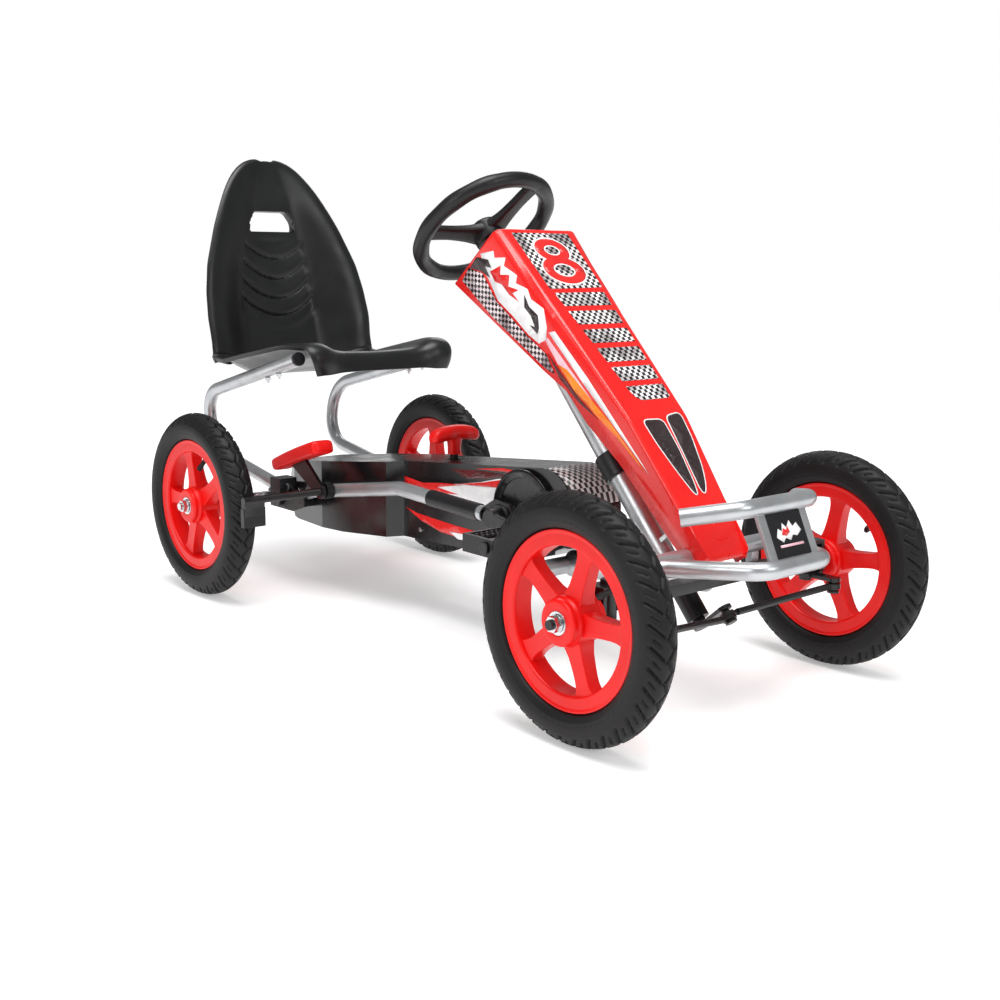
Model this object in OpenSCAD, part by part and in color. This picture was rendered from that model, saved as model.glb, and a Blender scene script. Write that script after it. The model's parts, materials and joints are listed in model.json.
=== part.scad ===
// Pedal go kart: tube frame, bucket seat, chain drive to the rear axle,
// steered front wheels. Millimetres, +X forward, +Y to the driver's left, +Z up,
// origin on the floor below the middle of the kart.

/* [Overall] */
// Distance between the front and rear axles
wheelbase = 874; // [830:1:950]
// Distance between the centre planes of a left and a right wheel
track = 490; // [470:1:560]
// Where the rear axle sits, seen from the origin
rear_axle_x = -413; // [-450:1:-390]

/* [Wheels] */
// Outer diameter of a tyre
tyre_d = 298; // [270:1:330]
// Width of a tyre
tyre_w = 47; // [40:0.5:56]
// Diameter of the rim's outer flange
rim_d = 212; // [196:1:224]
// Width of the rim over its flanges
rim_w = 30; // [26:0.5:36]
// Length of the hub
hub_w = 54; // [46:1:64]
// Number of spokes
spokes = 5; // [3:1:8]
// Outer diameter of a hub bearing
bearing_d = 28; // [24:1:32]

/* [Axles] */
// Diameter of the front stub axles
stub_d = 12; // [10:0.5:16]
// Diameter of the rear axle
axle_d = 16; // [14:0.5:20]
// Diameter of a kingpin
kingpin_d = 12; // [10:0.5:14]
// Distance of a kingpin inboard of its wheel's centre plane
kingpin_in = 53; // [50:1:60]
// Radial clearance of a running fit
fit = 0.05; // [0.02:0.01:0.1]

/* [Frame] */
// Diameter of the side rails
rail_d = 22; // [19:1:25]
// Distance of a side rail's centre from the middle plane
rail_y = 92; // [88:1:98]
// Wall of every frame tube
tube_wall = 2; // [1.5:0.1:2.5]
// Diameter of the spine tube below the column
spine_d = 38; // [36:1:42]
// Diameter of the bumper tubes
bumper_d = 22; // [19:1:25]

/* [Steering] */
// Slope of the column below the horizontal
column_angle = 48.77; // [46:0.1:51]
// Outer diameter of the column tube
column_d = 32; // [30:1:34]
// Diameter of the steering shaft
shaft_d = 16; // [14:0.5:18]
// Outer diameter of the steering wheel
wheel_rim_d = 224; // [200:1:250]
// Thickness of the steering wheel's rim
wheel_grip_d = 24; // [20:1:28]
// Length of the pitman arm and of both knuckle arms
steer_arm = 45; // [42:0.5:48]

/* [Drive] */
// Height of the crank axle above the wheel axles
crank_rise = 51; // [47:1:57]
// Length of a crank arm
crank_len = 92; // [80:1:96]
// Teeth on the front chainring
ring_teeth = 26; // [22:1:26]
// Teeth on the rear sprocket
sprocket_teeth = 18; // [14:1:20]
// Pitch of the chain
chain_pitch = 12.7; // [12:0.1:13]
// Half width of the front chain case
case_half = 46; // [44:0.5:50]
// Half width of the rear cover
cover_half = 68; // [60:0.5:72]
// Wall of the chain case and the fairing
shell_wall = 3; // [2.5:0.1:3.5]

/* [Seat] */
// Height of the seat back's top edge
seat_top = 720; // [690:1:760]
// Diameter of the seat tubes
seat_tube_d = 22; // [19:1:25]
// Distance of a seat tube from the middle plane at its front end
seat_tube_y = 147; // [142:1:152]
// Thickness of the moulded seat
seat_wall = 8; // [6:0.5:10]

/* [Hidden] */
$fn = 48;

front_axle_x = rear_axle_x + wheelbase;
wheel_y = track / 2;
axle_z = tyre_d / 2;
kingpin_y = wheel_y - kingpin_in;
hub_face = wheel_y - hub_w / 2;
stub_end = wheel_y + hub_w / 2 + 13;

// Column frame: d runs down the column, e square to it and forward
d = [cos(column_angle), 0, -sin(column_angle)];
e = [sin(column_angle), 0, cos(column_angle)];
hub = [front_axle_x - 454, 0, axle_z + 444];
bush_end = 655;
pitman_s = 662;
pitman_t = 5;
eye_t = 5;
eye_gap = 0.6;
function on_column(s, f = 0) = hub + s * d + f * e;

// Front frame levels
beam_z = axle_z + 9;
beam_h = 14;
beam_w = 24;
boss_h = 38;
cross_x = front_axle_x - 10;
cross_z = beam_z + 32;

// Crank and chain
crank_x = front_axle_x - 304;
crank_z = axle_z + crank_rise;
chain_y = -28;
ring_r = chain_pitch / 2 / sin(180 / ring_teeth);
sprocket_r = chain_pitch / 2 / sin(180 / sprocket_teeth);
chain_half = 4;
crank_arm_y = rail_y + rail_d / 2 + 2;
crank_arm_t = 10;
pedal_in = crank_arm_y + crank_arm_t + 2.5;
pedal_w = 80;
pedal_l = 92;
pedal_h = 24;
pedal_tilt = 8;
yoke_x = crank_x + 50;
yoke_z = crank_z - 70;

// Side rails
rail_start = [rear_axle_x + 88, 0, axle_z + 17];
rail_bend = [crank_x - 234, 0, crank_z + 6];
rail_end = [crank_x - 34, 0, crank_z - 1];
plate_t = 6;
lug_t = 8;
plate_y = rail_y + lug_t / 2;

// Seat
seat_low_y = plate_y + plate_t + 8 + seat_tube_d / 2;
seat_slope = 0.169;
seat_front = [rear_axle_x + 144, seat_tube_y, axle_z + 241];
seat_back = [rear_axle_x - 174, seat_low_y + 14, axle_z + 160];
seat_foot = [rear_axle_x - 174, seat_low_y, axle_z + 58];
seat_end = [rear_axle_x + 51, seat_low_y, axle_z + 58 - 225 * seat_slope];
seat_bend_r = 58;

// Brake
brake_x = rear_axle_x + tyre_d / 2 + 17;
brake_z = axle_z + 31;
brake_r = 6;

// ---------- helpers ----------

function unit(v) = v / norm(v);
function arc(c, r, a0, a1, n) =
    [for (i = [0:n]) let (a = a0 + (a1 - a0) * i / n) c + r * [cos(a), sin(a)]];
function flip(p) = [p[0], -p[1], p[2]];
function at_y(p, y) = [p[0], y, p[2]];

// Children drawn along +Z are laid from a towards b
module along(a, b) {
    z = unit(b - a);
    x = unit(cross(abs(z[1]) < 0.9 ? [0, 1, 0] : [1, 0, 0], z));
    y = cross(z, x);
    multmatrix([[x[0], y[0], z[0], a[0]], [x[1], y[1], z[1], a[1]], [x[2], y[2], z[2], a[2]]])
        children();
}

// A straight tube from a to b
module tube(a, b, od, wall) {
    along(a, b) difference() {
        cylinder(h = norm(b - a), d = od);
        translate([0, 0, -1]) cylinder(h = norm(b - a) + 2, d = od - 2 * wall);
    }
}

// A bend is this much thicker than the straights it takes in by one millimetre
bend_extra = 0.2;

// A tube through the points, with a bend of radius r at every inner point
module bent_tube(pts, od, wall, r) {
    n = len(pts);
    turn = [for (i = [0:n - 1]) i == 0 || i == n - 1 ? 0
        : 180 - acos(unit(pts[i - 1] - pts[i]) * unit(pts[i + 1] - pts[i]))];
    for (i = [0:n - 2]) {
        way = unit(pts[i + 1] - pts[i]);
        tube(pts[i] + (i == 0 ? 0 : r * tan(turn[i] / 2) - 1) * way,
            pts[i + 1] - (i == n - 2 ? 0 : r * tan(turn[i + 1] / 2) - 1) * way, od, wall);
    }
    for (i = [1:n - 2]) {
        a = unit(pts[i - 1] - pts[i]);
        b = unit(pts[i + 1] - pts[i]);
        c = pts[i] + unit(a + b) * r / cos(turn[i] / 2);
        x = unit(pts[i] + a * r * tan(turn[i] / 2) - c);
        z = unit(cross(x, pts[i] + b * r * tan(turn[i] / 2) - c));
        y = cross(z, x);
        multmatrix([[x[0], y[0], z[0], c[0]], [x[1], y[1], z[1], c[1]],
            [x[2], y[2], z[2], c[2]]])
            rotate_extrude(angle = turn[i]) translate([r, 0]) difference() {
                circle(d = od + bend_extra);
                circle(d = od - 2 * wall + bend_extra);
            }
    }
}

// A cylinder along Y from y0 to y1
module rod_y(x, y0, y1, z, dia) {
    translate([x, min(y0, y1), z]) rotate([-90, 0, 0]) cylinder(h = abs(y1 - y0), d = dia);
}

// An outline in X and Z, thick along Y from y0 to y1
module slab_y(outline, y0, y1) {
    translate([0, y1, 0]) rotate([90, 0, 0]) linear_extrude(height = y1 - y0) polygon(outline);
}

// Local X is e, local Z is d, and local Y points to the right of the kart
module in_column() {
    multmatrix([[e[0], 0, d[0], hub[0]], [0, -1, 0, 0], [e[2], 0, d[2], hub[2]]]) children();
}

module both_sides() {
    children();
    mirror([0, 1, 0]) children();
}

module at_wheel(x, side) {
    translate([x, side * wheel_y, axle_z]) scale([1, side, 1]) children();
}

// ---------- wheels, drawn about their own axle with the outside towards +Y ----------

module round_y() {
    rotate([-90, 0, 0]) rotate_extrude($fn = 96) children();
}

module tyre() {
    crown = ((tyre_d - rim_d) / 2 - 1.9303) / (1 - cos(130));
    mid = tyre_d / 2 - crown;
    skin = 4;
    bead = rim_w / 2 - 5;
    foot = rim_d / 2 - 8.7;
    outer = [for (a = [-130:13:130]) [mid + crown * cos(a), tyre_w / 2 * sin(a)]];
    inner = [for (a = [130:-13:-130]) [mid + (crown - skin) * cos(a),
        (tyre_w / 2 - skin) * sin(a)]];
    color("#1d1d1f") round_y() polygon(concat(outer,
        [[rim_d / 2 + 1, bead + 1.3], [foot, bead]], [[foot, bead - 4], [rim_d / 2, bead - 4]],
        inner, [[rim_d / 2, -bead + 4], [foot, -bead + 4], [foot, -bead], [rim_d / 2 + 1, -bead - 1.3]]));
}

module rim() {
    h = rim_w / 2;
    r = rim_d / 2;
    color("#e8231d") difference() {
        union() {
            round_y() polygon([[r - 19, -h], [r, -h], [r, -h + 3], [r - 9, -h + 4.5],
                [r - 9, h - 4.5], [r, h - 3], [r, h], [r - 19, h]]);
            round_y() polygon([[0, -hub_w / 2], [31, -hub_w / 2], [31, -hub_w / 2 + 5],
                [24, -hub_w / 2 + 7], [24, hub_w / 2 - 7], [31, hub_w / 2 - 5],
                [31, hub_w / 2], [0, hub_w / 2]]);
            for (i = [0:spokes - 1]) rotate([0, 90 + 360 * i / spokes, 0])
                slab_y([[16, -14], [r - 17, -12], [r - 17, 12], [16, 14]], -10, 10);
        }
        rod_y(0, -hub_w / 2 - 1, hub_w / 2 + 1, 0, bearing_d - 8);
        rod_y(0, hub_w / 2 - 8, hub_w / 2 + 1, 0, bearing_d);
        rod_y(0, -hub_w / 2 - 1, -hub_w / 2 + 8, 0, bearing_d);
    }
}

module hub_rings(bore) {
    color("silver") for (y = [-hub_w / 2, hub_w / 2 - 8]) difference() {
        rod_y(0, y, y + 8, 0, bearing_d);
        rod_y(0, y - 1, y + 9, 0, bore);
    }
}

module axle_nut() {
    color("silver") difference() {
        union() {
            rod_y(0, hub_w / 2 + 0.5, hub_w / 2 + 2, 0, 22);
            translate([0, hub_w / 2 + 2, 0]) rotate([-90, 0, 0])
                cylinder(h = 7, d = 20, $fn = 6);
        }
        rod_y(0, hub_w / 2, hub_w / 2 + 10, 0, stub_d);
    }
}

module front_right_tyre() at_wheel(front_axle_x, -1) tyre();
module front_left_tyre() at_wheel(front_axle_x, 1) tyre();
module rear_right_tyre() at_wheel(rear_axle_x, -1) tyre();
module rear_left_tyre() at_wheel(rear_axle_x, 1) tyre();
module front_right_rim() at_wheel(front_axle_x, -1) rim();
module front_left_rim() at_wheel(front_axle_x, 1) rim();
module rear_right_rim() at_wheel(rear_axle_x, -1) rim();
module rear_left_rim() at_wheel(rear_axle_x, 1) rim();
module front_right_bearings() at_wheel(front_axle_x, -1) hub_rings(stub_d + 2 * fit);
module front_left_bearings() at_wheel(front_axle_x, 1) hub_rings(stub_d + 2 * fit);
module rear_right_hub_rings() at_wheel(rear_axle_x, -1) hub_rings(axle_d);
module rear_left_hub_rings() at_wheel(rear_axle_x, 1) hub_rings(axle_d);
module front_right_nuts() at_wheel(front_axle_x, -1) axle_nut();
module front_left_nuts() at_wheel(front_axle_x, 1) axle_nut();
module rear_axle_nuts() {
    at_wheel(rear_axle_x, -1) axle_nut();
    at_wheel(rear_axle_x, 1) axle_nut();
}

// ---------- frame ----------

module main_spine() {
    a = [yoke_x, 0, yoke_z];
    b = [front_axle_x - beam_w / 2, 0, beam_z];
    color("silver") difference() {
        union() {
            along(a, b) cylinder(h = norm(b - a), d = spine_d);
            rod_y(yoke_x, -rail_y + plate_t / 2, rail_y - plate_t / 2, yoke_z, 25);
        }
        along(a, b) translate([0, 0, -20])
            cylinder(h = norm(b - a) + 19, d = spine_d - 2 * tube_wall);
        rod_y(yoke_x, -rail_y, rail_y, yoke_z, 25 - 2 * tube_wall);
        in_column() translate([0, 0, 520]) cylinder(h = 130, d = column_d + 0.1);
    }
}

module front_cross_tube() {
    color("silver") {
        tube([cross_x, -118, cross_z], [cross_x, 118, cross_z], bumper_d, tube_wall);
        both_sides() translate([cross_x - 5, 80, beam_z + beam_h / 2])
            cube([10, 14, cross_z - beam_z - beam_h / 2 - bumper_d / 2 + 1]);
    }
}

module front_axle_beam() {
    color("#1c1c1e") difference() {
        union() {
            translate([front_axle_x - beam_w / 2, -kingpin_y + 8, beam_z - beam_h / 2])
                cube([beam_w, 2 * kingpin_y - 16, beam_h]);
            both_sides() translate([front_axle_x, kingpin_y, beam_z - boss_h / 2])
                cylinder(h = boss_h, d = kingpin_d + 12);
        }
        both_sides() translate([front_axle_x, kingpin_y, beam_z - boss_h / 2 - 1])
            cylinder(h = boss_h + 2, d = kingpin_d + 2 * fit);
    }
}

module side_rail() {
    color("silver") difference() {
        union() {
            bent_tube([at_y(rail_start, rail_y), at_y(rail_bend, rail_y),
                at_y(rail_end, rail_y)], rail_d, tube_wall, 60);
            translate([rail_start[0] - 28, rail_y - lug_t / 2, rail_start[2] - 14])
                cube([30, lug_t, 26]);
        }
        rod_y(rail_start[0] - 15, rail_y - 10, rail_y + 10, rail_start[2] - 1, 8.2);
    }
}
module side_rail_left() side_rail();
module side_rail_right() mirror([0, 1, 0]) side_rail();

module rear_carrier() {
    x = rear_axle_x;
    cross = [x + 50, 0, axle_z - 6];
    color("#202022") {
        tube(at_y(cross, -plate_y), at_y(cross, plate_y), 22, tube_wall);
        both_sides() difference() {
            union() {
                slab_y([[x - 22, axle_z - 22], [x - 22, axle_z + 22],
                    [rail_start[0] - 3, rail_start[2] + 16],
                    [rail_start[0] - 3, rail_start[2] - 26],
                    [x + 50, axle_z - 22]], plate_y, plate_y + plate_t);
                rod_y(x, plate_y - 4, plate_y + plate_t + 6, axle_z, axle_d + 24);
            }
            rod_y(x, plate_y - 10, plate_y + 20, axle_z, axle_d + 2 * fit);
            rod_y(rail_start[0] - 15, plate_y - 5, plate_y + 10, rail_start[2] - 1, 8.2);
        }
        mirror([0, 1, 0]) difference() {
            rod_y(brake_x, rail_y + rail_d / 2, rail_y + rail_d / 2 + 13, brake_z, 26);
            rod_y(brake_x, rail_y, rail_y + rail_d / 2 + 20, brake_z, 2 * brake_r + 2 * fit);
        }
    }
}

module crank_plates() {
    c = [crank_x, crank_z];
    color("#202022") both_sides() difference() {
        union() {
            slab_y([c + [-34, -12], c + [-34, 10], c + [-14, 22], c + [18, 20],
                c + [68, -60], c + [64, -84], c + [38, -86], c + [-22, -16]],
                rail_y - plate_t / 2, rail_y + plate_t / 2);
            rod_y(crank_x, rail_y - 6, rail_y + 6, crank_z, axle_d + 20);
        }
        rod_y(crank_x, rail_y - 20, rail_y + 20, crank_z, axle_d + 2 * fit);
    }
}

module rail_guards() {
    slope = (rail_end - rail_bend) / (rail_end[0] - rail_bend[0]);
    a = at_y(rail_bend, rail_y) + 78 * slope;
    b = at_y(rail_bend, rail_y) + 190 * slope;
    color("#1a1a1c") both_sides() tube(a, b, rail_d + 2.6, 1.25);
}

module hex_head_y(x, y, z, size, h) {
    translate([x, y, z]) rotate([-90, 0, 0]) cylinder(h = h, d = size, $fn = 6);
}

module frame_bolts() {
    color("silver") {
        both_sides() {
            rod_y(rail_start[0] - 15, rail_y - 10, plate_y + plate_t + 5,
                rail_start[2] - 1, 8);
            hex_head_y(rail_start[0] - 15, plate_y + plate_t, rail_start[2] - 1, 14, 5);
            for (p = [[-240, -64], [-60, -60]])
                hex_head_y(crank_x + p[0], case_half, crank_z + p[1], 8, 3);
        }
    }
}

// ---------- steering column ----------

// Half the width of the fairing at a station down the column
function fairing_half(s) = 76 - (s - 74) * 34 / 544;

// Bar across the inside of the fairing
module bracket(x, s) {
    half = fairing_half(s + 6) - shell_wall - 0.1;
    translate([x, -half, s]) cube([6, 2 * half, 6]);
}

module steering_tube() {
    color("silver") in_column() {
        difference() {
            translate([0, 0, 95]) cylinder(h = 517, d = column_d);
            translate([0, 0, 94]) cylinder(h = 519, d = column_d - 5);
        }
        translate([column_d / 2 - 1, -10, 112]) cube([12, 20, 6]);
        bracket(column_d / 2 + 10, 112);
        translate([column_d / 2 - 1, -10, 541]) cube([48, 20, 6]);
        bracket(column_d / 2 + 44, 541);
    }
}

module column_bushes() {
    bore = shaft_d + 2 * fit;
    color("#161618") in_column() {
        difference() {
            union() {
                translate([0, 0, 88]) cylinder(h = 7, d = column_d);
                translate([0, 0, 94]) cylinder(h = 14, d = column_d - 5);
            }
            translate([0, 0, 80]) cylinder(h = 40, d = bore);
        }
        difference() {
            union() {
                translate([0, 0, 612]) cylinder(h = bush_end - 612, d = column_d - 2);
                translate([0, 0, 596]) cylinder(h = 17, d = column_d - 5);
            }
            translate([0, 0, 590]) cylinder(h = 80, d = bore);
        }
        difference() {
            translate([0, 0, 401]) cylinder(h = 35, d = column_d + 10);
            translate([0, 0, 400]) cylinder(h = 37, d = column_d);
        }
    }
}

module steering_shaft() {
    color("#1b1b1d") in_column() {
        translate([0, 0, 4]) cylinder(h = pitman_s - 3, d = shaft_d);
        translate([0, 0, pitman_s]) {
            cylinder(h = pitman_t, d = 24);
            translate([0, -9, 0]) cube([steer_arm, 18, pitman_t]);
            translate([steer_arm, 0, 0]) cylinder(h = pitman_t, d = 20);
            translate([steer_arm, 0, 0]) cylinder(h = 22, d = 10);
            translate([steer_arm, 0, 20]) cylinder(h = 3, d = 16);
        }
    }
}

module steering_wheel() {
    r = (wheel_rim_d - wheel_grip_d) / 2;
    color("#19191b") in_column() difference() {
        union() {
            rotate_extrude($fn = 96) translate([r, 0]) circle(d = wheel_grip_d);
            translate([0, 0, -6]) cylinder(h = 34, d = 46);
            for (a = [98, 218, 338]) rotate([0, 0, a])
                translate([10, -12, 0]) cube([r - 14, 24, 10]);
        }
        translate([0, 0, 4]) cylinder(h = 40, d = shaft_d);
    }
}

// A rod from its eye on the pitman pin to its eye on the knuckle's pin
module tie_rod(side, eye_s) {
    inner = on_column(eye_s + eye_t / 2, steer_arm);
    outer = [front_axle_x + steer_arm, side * kingpin_y, axle_z - 21.5];
    way = unit(outer - inner);
    color("#1b1b1d") difference() {
        union() {
            in_column() translate([steer_arm, 0, eye_s]) {
                cylinder(h = eye_t, d = 19);
                translate([-4.5, side > 0 ? -22 : 0, 0]) cube([9, 22, eye_t]);
            }
            along(inner + 17 * way, outer - 7 * way)
                cylinder(h = norm(outer - inner) - 24, d = 9);
            translate(outer - [0, 0, 3.5]) cylinder(h = 7, d = 19);
        }
        in_column() translate([steer_arm, 0, eye_s - 1]) cylinder(h = eye_t + 2, d = 13.4);
        translate(outer - [0, 0, 10]) cylinder(h = 20, d = 10 + 2 * fit);
    }
}
module tie_rod_left() tie_rod(1, pitman_s + pitman_t + 3.6);
module tie_rod_right() tie_rod(-1, pitman_s + pitman_t + 3.6 + eye_t + eye_gap);

// Left knuckle: fork, kingpin, steering arm with its pin, and stub axle
module knuckle() {
    low = beam_z - boss_h / 2 - 5.5;
    high = beam_z + boss_h / 2 + 0.5;
    color("#1c1c1e") translate([front_axle_x, kingpin_y, 0]) {
        for (z = [low, high]) translate([-14, -12, z]) cube([28, 32, 5]);
        translate([-14, 14, low]) cube([28, 6, high - low + 5]);
        translate([0, 0, low - 6]) cylinder(h = high - low + 17, d = kingpin_d);
        translate([0, 0, low - 6]) cylinder(h = 6, d = 18, $fn = 6);
        translate([0, 0, high + 5]) cylinder(h = 6, d = 18, $fn = 6);
        translate([0, -8, low]) cube([steer_arm, 16, 5]);
        translate([steer_arm, 0, low]) cylinder(h = 5, d = 18);
        translate([steer_arm, 0, low - 15.5]) cylinder(h = 16, d = 10);
        translate([steer_arm, 0, low - 15.5]) cylinder(h = 3, d = 16);
        rod_y(0, 18, hub_face - kingpin_y - 0.5, axle_z, stub_d + 6);
        rod_y(0, 18, stub_end - kingpin_y, axle_z, stub_d);
    }
}
module knuckle_left() knuckle();
module knuckle_right() mirror([0, 1, 0]) knuckle();

// ---------- fairing and bumper ----------

// Side view of the fairing in the column frame, inset all round
function fairing_side(i) = [
    [-33 + i, 74 + i], [81 - i, 74 + i], [104 - i, 414], [88 - i, 618 - i], [60 + i, 571 - i],
    [55 + i, 447], [43 + i, 374], [42 + i, 320], [27 + i, 277]
];
function fairing_plan(i) = [
    [-76 + i, 74], [76 - i, 74], [42 - i, 618], [-42 + i, 618]
];

module fairing_solid(i) {
    intersection() {
        translate([0, 90, 0]) rotate([90, 0, 0]) linear_extrude(height = 180)
            polygon(fairing_side(i));
        translate([-60, 0, 0]) rotate([0, 0, 90]) rotate([90, 0, 0])
            linear_extrude(height = 200) polygon(fairing_plan(i));
    }
}

module fairing() {
    w = shell_wall;
    color("#ee2a24") difference() {
        in_column() difference() {
            fairing_solid(0);
            fairing_solid(w);
            slot_behind();
            translate([0, 0, 70]) cylinder(h = 10, d = shaft_d + 10);
        }
        rod_y(cross_x, -100, 100, cross_z, bumper_d + 3);
    }
}

// The open back of the fairing, between its two side walls
module slot_behind() {
    w = shell_wall;
    intersection() {
        translate([0, 90, 0]) rotate([90, 0, 0]) linear_extrude(height = 180)
            polygon([[-80, 74 + w], [-28, 74 + w], [40, 277], [62, 447], [72, 571],
                [80, 600], [60, 640], [-80, 640]]);
        translate([-90, 0, 0]) rotate([0, 0, 90]) rotate([90, 0, 0])
            linear_extrude(height = 200) polygon(fairing_plan(w));
    }
}

hoop_front_x = front_axle_x + 123;
hoop_low_z = axle_z + 50;
hoop_high = [front_axle_x + 91, axle_z + 119];

module bumper_lower_hoop() {
    half = [[front_axle_x - 14, 140, axle_z + 37], [front_axle_x + 12, 108, axle_z + 41],
        [hoop_front_x, 58, hoop_low_z]];
    color("silver") bent_tube([half[0], half[1], half[2], flip(half[2]), flip(half[1]),
        flip(half[0])], bumper_d, tube_wall, 30);
}

module bumper_upper_hoop() {
    a = [hoop_high[0] - 54, 112, hoop_high[1] - 12];
    b = [hoop_high[0], 64, hoop_high[1]];
    color("silver") bent_tube([a, b, flip(b), flip(a)], bumper_d, tube_wall, 30);
}

post_top = [hoop_high[0], 0, hoop_high[1]];
post_low = [hoop_front_x, 0, hoop_low_z];
post_len = norm(post_top - post_low) - bumper_d + 2;

module between_hoops() {
    along(post_low, post_top) translate([0, 0, bumper_d / 2 - 1]) children();
}

module bumper_posts() {
    color("silver") both_sides() between_hoops() translate([-2.5, 32, 0])
        cube([5, 14, post_len]);
}

module bumper_plate() {
    color("#2b2526") between_hoops() translate([0.5, -32, 1]) cube([3, 64, post_len - 2]);
}

// ---------- chain case and drive ----------

// Side view of the rear cover, inset by i, nose round the rear axle
function cover_side(i) = concat(
    [[crank_x - 284, axle_z + 89 - i], [crank_x - 284, axle_z - 31 + i],
        [rear_axle_x + 146, axle_z - 45 + i]],
    arc([rear_axle_x - 19, axle_z], 52 - i, -90, -260, 12));
function cover_plan(i) = [
    [rear_axle_x - 72, 0], [rear_axle_x - 72 + i, 30 - i], [rear_axle_x - 34, 46 - i],
    [rear_axle_x + 86, cover_half - i], [crank_x - 302, cover_half - i],
    [crank_x - 284, case_half - i], [crank_x - 284, 0]
];
function case_side(i) = concat(
    [[crank_x - 284, axle_z + 89 - i], [crank_x - 284, axle_z - 31 + i],
        [crank_x - 92, crank_z - 74 + i], [crank_x + 18, crank_z - 64 + i]],
    arc([crank_x + 36, crank_z + 8], 60 - i, -50, 90, 10));

module cover_solid(i, over) {
    intersection() {
        slab_y(cover_side(i), -2, cover_half + 2);
        translate([0, over, 0]) linear_extrude(height = 400) polygon(cover_plan(i));
    }
}

module rear_cover() {
    color("#141416") difference() {
        cover_solid(0, 0);
        translate([0, -0.5, 0]) cover_solid(shell_wall, 0);
        translate([crank_x - 290, -1, axle_z - 31 + shell_wall])
            cube([10, case_half - shell_wall + 1, 120 - 2 * shell_wall]);
        rod_y(rear_axle_x, -1, cover_half + 5, axle_z, axle_d + 6);
        rod_y(rear_axle_x + 50, -1, cover_half + 5, axle_z - 6, 23);
    }
}
module rear_cover_left() rear_cover();
module rear_cover_right() mirror([0, 1, 0]) rear_cover();

selector = [crank_x - 217, 0, crank_z + 5];

module front_case() {
    w = shell_wall;
    color("#17171a") difference() {
        union() {
            difference() {
                slab_y(case_side(0), 0, case_half);
                slab_y(case_side(w), -1, case_half - w);
                translate([crank_x - 290, -1, axle_z - 31 + w])
                    cube([10, case_half - w + 1, 120 - 2 * w]);
            }
            rod_y(selector[0], 8, case_half - 1, selector[2], 16);
            translate([crank_x - 167, -chain_y - 6, crank_z - 76]) cube([20, 12, 10.5]);
        }
        rod_y(selector[0], 0, case_half - 2, selector[2], 8 + 2 * fit);
        rod_y(crank_x, -1, case_half + 5, crank_z, axle_d + 6);
        translate([selector[0] - 18, -1, selector[2] + 20]) cube([36, 6.5, 60]);
    }
}
module front_case_left() front_case();
module front_case_right() mirror([0, 1, 0]) front_case();

module crank_discs() {
    color("#101012") both_sides() translate([crank_x, case_half, crank_z])
        rotate([-90, 0, 0]) rotate_extrude($fn = 96)
            polygon([[14, 0], [62, 0], [62, 8], [58, 9], [50, 3], [14, 6]]);
}

// Loop round two circles: the outline of a chain at a distance g from its pitch line
function loop(g) = let (
    gap = crank_x - rear_axle_x, rise = crank_z - axle_z, dist = norm([gap, rise]),
    tilt = atan2(rise, gap), lean = asin((ring_r - sprocket_r) / dist))
    concat(arc([crank_x, crank_z], ring_r + g, tilt - 90 - lean, tilt + 90 + lean, 24),
        arc([rear_axle_x, axle_z], sprocket_r + g, tilt + 90 + lean, tilt + 270 - lean, 16));

module chain() {
    color("#6a6a6c") difference() {
        slab_y(loop(chain_half), chain_y - 4, chain_y + 4);
        slab_y(loop(-chain_half), chain_y - 5, chain_y + 5);
    }
}

module toothed(teeth, pitch_r, hub_d) {
    r = pitch_r - chain_half - 0.5;
    step = 360 / teeth;
    outline = [for (i = [0:teeth - 1]) each [
        (r - 4) * [cos(i * step), sin(i * step)],
        r * [cos((i + 0.4) * step), sin((i + 0.4) * step)],
        r * [cos((i + 0.6) * step), sin((i + 0.6) * step)]]];
    color("#58585a") difference() {
        union() {
            slab_y(outline, chain_y - 2, chain_y + 2);
            rod_y(0, chain_y - 8, chain_y + 8, 0, hub_d);
        }
        rod_y(0, chain_y - 20, chain_y + 20, 0, axle_d);
    }
}
module rear_sprocket() translate([rear_axle_x, 0, axle_z])
    toothed(sprocket_teeth, sprocket_r, axle_d + 12);
module chainring() translate([crank_x, 0, crank_z])
    toothed(ring_teeth, ring_r, axle_d + 14);

module rear_axle() {
    shoulder = wheel_y + hub_w / 2;
    color("#3a3a3c") union() {
        rod_y(rear_axle_x, -shoulder, shoulder, axle_z, axle_d);
        rod_y(rear_axle_x, -stub_end, stub_end, axle_z, stub_d);
    }
}

module crank_arm() {
    rod_y(0, crank_arm_y, crank_arm_y + crank_arm_t, 0, 26);
    rod_y(crank_len, crank_arm_y, crank_arm_y + crank_arm_t, 0, 22);
    translate([0, crank_arm_y, -9]) cube([crank_len, crank_arm_t, 18]);
    rod_y(crank_len, crank_arm_y + 2, pedal_in + pedal_w + 4, 0, 12);
    rod_y(crank_len, pedal_in + pedal_w + 0.5, pedal_in + pedal_w + 4, 0, 16);
}

module crank() {
    color("#1a1a1c") translate([crank_x, 0, crank_z]) {
        rod_y(0, -crank_arm_y - 2, crank_arm_y + 2, 0, axle_d);
        rotate([0, pedal_tilt, 0]) mirror([0, 1, 0]) crank_arm();
        rotate([0, 180 + pedal_tilt, 0]) crank_arm();
    }
}

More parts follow.
